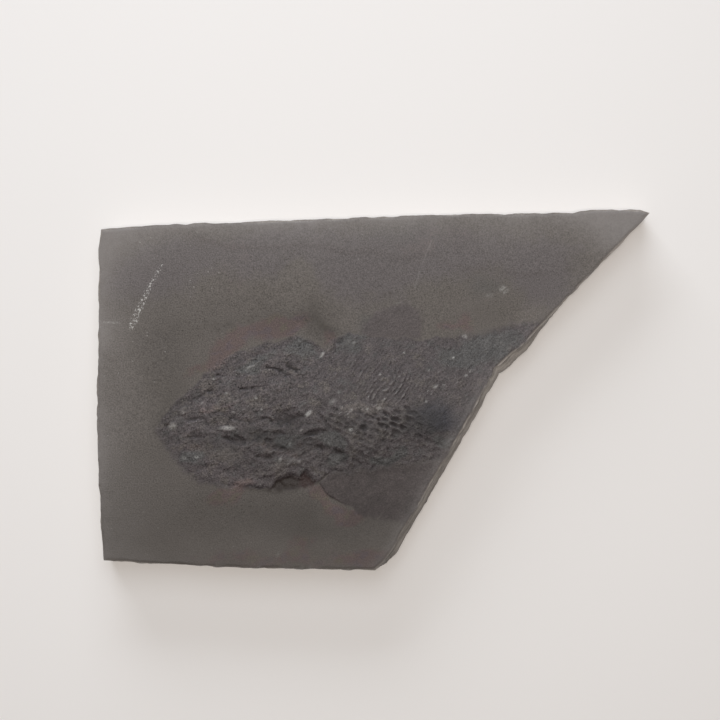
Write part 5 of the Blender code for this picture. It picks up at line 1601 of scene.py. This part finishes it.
    def bone(self, graph: Graph, textures: Textures, layers: Layers) -> Socket:
        """Bone and scale: dark, with black pits and seams that also take painted shade, pale ridges, slate
        grey and rusty places.
        """
        streaks, specks, tints = textures.streaks, textures.specks, textures.tints
        colour = graph.mix(graph.step(0.02, 0.40, textures.patchy) * 0.60, self.fossil, self.matrix)
        colour = graph.mix(graph.step(0.05, 0.40, -textures.patchy) * 0.55, colour, self.slate)
        rusty = graph.step(0.2, 0.9, layers[Layer.RUST] + textures.coarse * 0.5 + tints * 0.5)
        colour = graph.mix(rusty * 0.7, colour, self.stain(graph, textures))
        worn = graph.step(0.2, 0.8, layers[Layer.WORN] + textures.coarse * 0.5 + specks * 0.4)
        colour = graph.mix(worn * 0.75, colour, self.worn)
        slate = graph.step(0.2, 0.8, layers[Layer.SLATE] + textures.coarse * 0.5 + specks * 0.4)
        colour = graph.mix(slate * 0.75, colour, self.slate)
        colour = graph.mix(graph.clamped(-layers[Layer.SLATE]), colour, self.blue_black)
        uneven = 1.0 + layers[Layer.SHADE] * 0.45 + textures.coarse * 0.30
        on_skull = graph.step(-8.0, -18.0, textures.x) * graph.step(-18.0, -10.0, textures.y)
        fine = (streaks * 0.75 + specks * 0.80 + textures.grain * 1.15) * (1.0 + on_skull * 0.35)
        colour = graph.toned(colour, uneven * (1.0 + fine))
        cavity = layers[Layer.CAVITY] + streaks * 0.18 + textures.grain * 0.16
        # Painted shade in recesses, darker where the cavity layer is larger
        colour = graph.mix(graph.step(0.02, 0.62, cavity) * 0.90, colour, self.pit)
        ridges = graph.step(0.05, 0.45, -cavity)
        enamel = graph.clamped(layers[Layer.ENAMEL])
        colour = graph.mix(ridges * (0.35 + enamel * 0.45), colour, self.ridge)
        # The same pale margins on the bone: partly rubbed stone powder, partly painted sheen and painted
        # light
        return graph.mix(graph.clamped(layers[Layer.DUST]) * 0.45, colour, self.dust_and_painted_light)

    def sparks(self, graph: Graph, textures: Textures, layers: Layers, colour: Socket) -> Socket:
        """Painted white glints on the bone, and the sparkling scratch and flecks of the bare stone."""
        places, x, y = textures.places, textures.x, textures.y
        # Painted glints on the listed bright spots of the bone
        chips = graph.noise(graph.stretched(places, (1.3, 0.8, 1.0), 25.0), 0.7, 2.0, 0.7)
        light = graph.clamped(layers[Layer.LIGHT] * graph.step(-0.45, 0.15, chips))
        colour = graph.mix(light * 0.40, colour, self.glint_and_pale_mark)
        # Painted glints where the bone stands up and on its enamel
        ridge = graph.step(0.0, 0.25, -layers[Layer.CAVITY])
        flake = graph.noise(graph.stretched(places, (1.5, 0.8, 1.0), 40.0), 0.55, 1.0, 0.5)
        shown = flake + ridge * 0.10 + graph.clamped(layers[Layer.ENAMEL]) * 0.16
        on_bone = graph.step(0.40, 0.75, shown) * layers[Layer.FOSSIL]
        colour = graph.mix(on_bone * 0.24, colour, self.glint_and_pale_mark)
        fleck, chance = graph.dots(places, 1.1, 0.24)
        shown = fleck * graph.step(0.90, 1.0, chance) * graph.clamped(layers[Layer.PALE])
        colour = graph.mix(shown * 0.22, colour, self.glint_and_pale_mark)
        fine = graph.step(-0.02, 0.30, graph.noise(graph.stretched(places, (0.8, 1.2, 1.0), -28.0), 0.6))
        scratch = graph.math(
            "MINIMUM",
            graph.from_line(x, y, (-64.9, 38.4), (-69.4, 30.4)),
            graph.from_line(x, y, (-69.4, 30.4), (-74.2, 19.4)),
        )
        reach = 0.65 + graph.step(39.0, 22.0, y) * 0.60
        band = graph.step(-0.1, 0.5, reach - scratch)
        colour = graph.mix(band * fine * 0.60, colour, self.glint_and_pale_mark)
        dash = graph.from_line(x, y, (-82.5, 20.8), (-77.9, 20.7))
        colour = graph.mix(graph.step(0.5, 0.1, dash) * (0.04 + fine * 0.18), colour, self.glint_and_pale_mark)
        crack = graph.math(
            "MINIMUM",
            graph.from_line(x, y, (18.0, 46.0), (15.4, 39.6)),
            graph.from_line(x, y, (15.4, 39.6), (12.8, 31.5)),
        )
        line = graph.step(0.35, 0.05, crack + graph.noise(places, 1.5) * 0.45)
        return graph.mix(line * 0.05, colour, self.glint_and_pale_mark)

    def side(self, graph: Graph, textures: Textures, layers: Layers, colour: Socket) -> Socket:
        """The broken side: pale with stone powder, with thin darker laminae along the bedding."""
        flat = graph.stretched(textures.places, (14.0, 14.0, 1.0), 0.0)
        laminae = graph.noise(flat, 0.9, 4.0, 0.7)
        side = graph.mix(graph.step(-0.35, 0.35, laminae), self.broken_dark, self.broken)
        side = graph.toned(side, 1.0 + textures.grain * 0.3)
        return graph.mix(layers[Layer.BROKEN], colour, side)

    def relief(self, graph: Graph, textures: Textures, layers: Layers) -> None:
        """Fine relief below the size of the mesh: grain, broken bone, and laminae on the side."""
        flat = graph.stretched(textures.places, (10.0, 10.0, 1.0), 0.0)
        laminae = graph.noise(flat, 0.7, 3.0, 0.6)
        bone = textures.streaks * 0.07 + textures.specks * 0.02
        height = textures.grain * 0.030 + textures.coarse * 0.03
        height = height + layers[Layer.FOSSIL] * bone + layers[Layer.BROKEN] * laminae * 0.16
        values = {"Height": height, "Strength": 1.0, "Distance": MM}
        normal = graph.node("ShaderNodeBump", {}, values, "Normal")
        graph.feed(graph.shader.inputs["Normal"], normal)


WARM: Colour = (1.0, 0.925, 0.855)
COOL: Colour = (0.894, 0.943, 1.0)


@dataclass
class Studio:
    """A pale table, soft daylight from behind the slab's upper edge, and a camera above it.

    Attributes:
        frame_width: Width of the view at the height of the fossil.
        distance: From the camera to the fossil.
        middle: The place in the middle of the view.
        level: Height of the fossil over the table.
    """

    frame_width: float = 221.2
    distance: float = 500.0
    middle: tuple[float, float] = (-4.0, 9.24)
    level: float = 11.0

    def add_table(self) -> None:
        """The pale table top."""
        bpy.ops.mesh.primitive_plane_add(size=8.0)
        table = bpy.context.object
        table.name = "table"
        material = bpy.data.materials.new("pale_table")
        graph = Graph(material)
        graph.feed(graph.shader.inputs["Base Color"], (0.785, 0.771, 0.762))
        graph.feed(graph.shader.inputs["Roughness"], 0.75)
        graph.feed(graph.shader.inputs["Specular IOR Level"], 0.2)
        table.data.materials.append(material)

    def add_light(self, name: str, place: Point, size: Spot, power: float, colour: Colour) -> None:
        """Adds a soft rectangular light that faces the slab.

        Args:
            name: What it is called.
            place: Where its middle is, in metres.
            size: Its width and height.
            power: Its power in watts.
            colour: Its colour.
        """
        data = bpy.data.lights.new(name, "AREA")
        data.shape = "RECTANGLE"
        data.size, data.size_y = size
        data.energy, data.color = power, colour
        lamp = bpy.data.objects.new(name, data)
        bpy.context.scene.collection.objects.link(lamp)
        lamp.location = place
        lamp.rotation_euler = (-Vector(place)).to_track_quat("-Z", "Y").to_euler()
        lamp.visible_camera = False

    def add_sky(self) -> None:
        """Even light from all round."""
        world = bpy.data.worlds.new("room")
        world.use_nodes = True
        background = world.node_tree.nodes["Background"]
        background.inputs["Color"].default_value = (1.0, 0.985, 0.975, 1.0)
        background.inputs["Strength"].default_value = 0.02
        bpy.context.scene.world = world

    def add_camera(self) -> None:
        """A camera straight above the slab."""
        data = bpy.data.cameras.new("camera")
        data.lens = data.sensor_width * self.distance / self.frame_width
        camera = bpy.data.objects.new("camera", data)
        bpy.context.scene.collection.objects.link(camera)
        camera.location = Vector((*self.middle, self.distance + self.level)) * MM
        bpy.context.scene.camera = camera

    def build(self) -> None:
        """Adds the table, the light and the camera, and leaves colours as they are measured."""
        self.add_table()
        self.add_light("lamp", (0.0, 0.0, 1.0), (0.2, 0.2), 6.1, WARM)
        self.add_light("near", (-0.05, 0.25, 0.5), (0.4, 0.4), 0.95, COOL)
        self.add_light("window", (-0.3, 1.17, 0.35), (1.0, 0.4), 13.4, COOL)
        self.add_sky()
        self.add_camera()
        bpy.context.scene.view_settings.view_transform = "Standard"


def main() -> None:
    """Builds the slab and the studio round it."""
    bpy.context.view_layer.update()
    Studio().build()
    slab = Slab().build(ShaleFinish().build())
    log.info("%s: %d vertices, %d faces", slab.name, len(slab.data.vertices), len(slab.data.polygons))


if __name__ == "__main__":
    logging.basicConfig(level=logging.INFO)
    main()
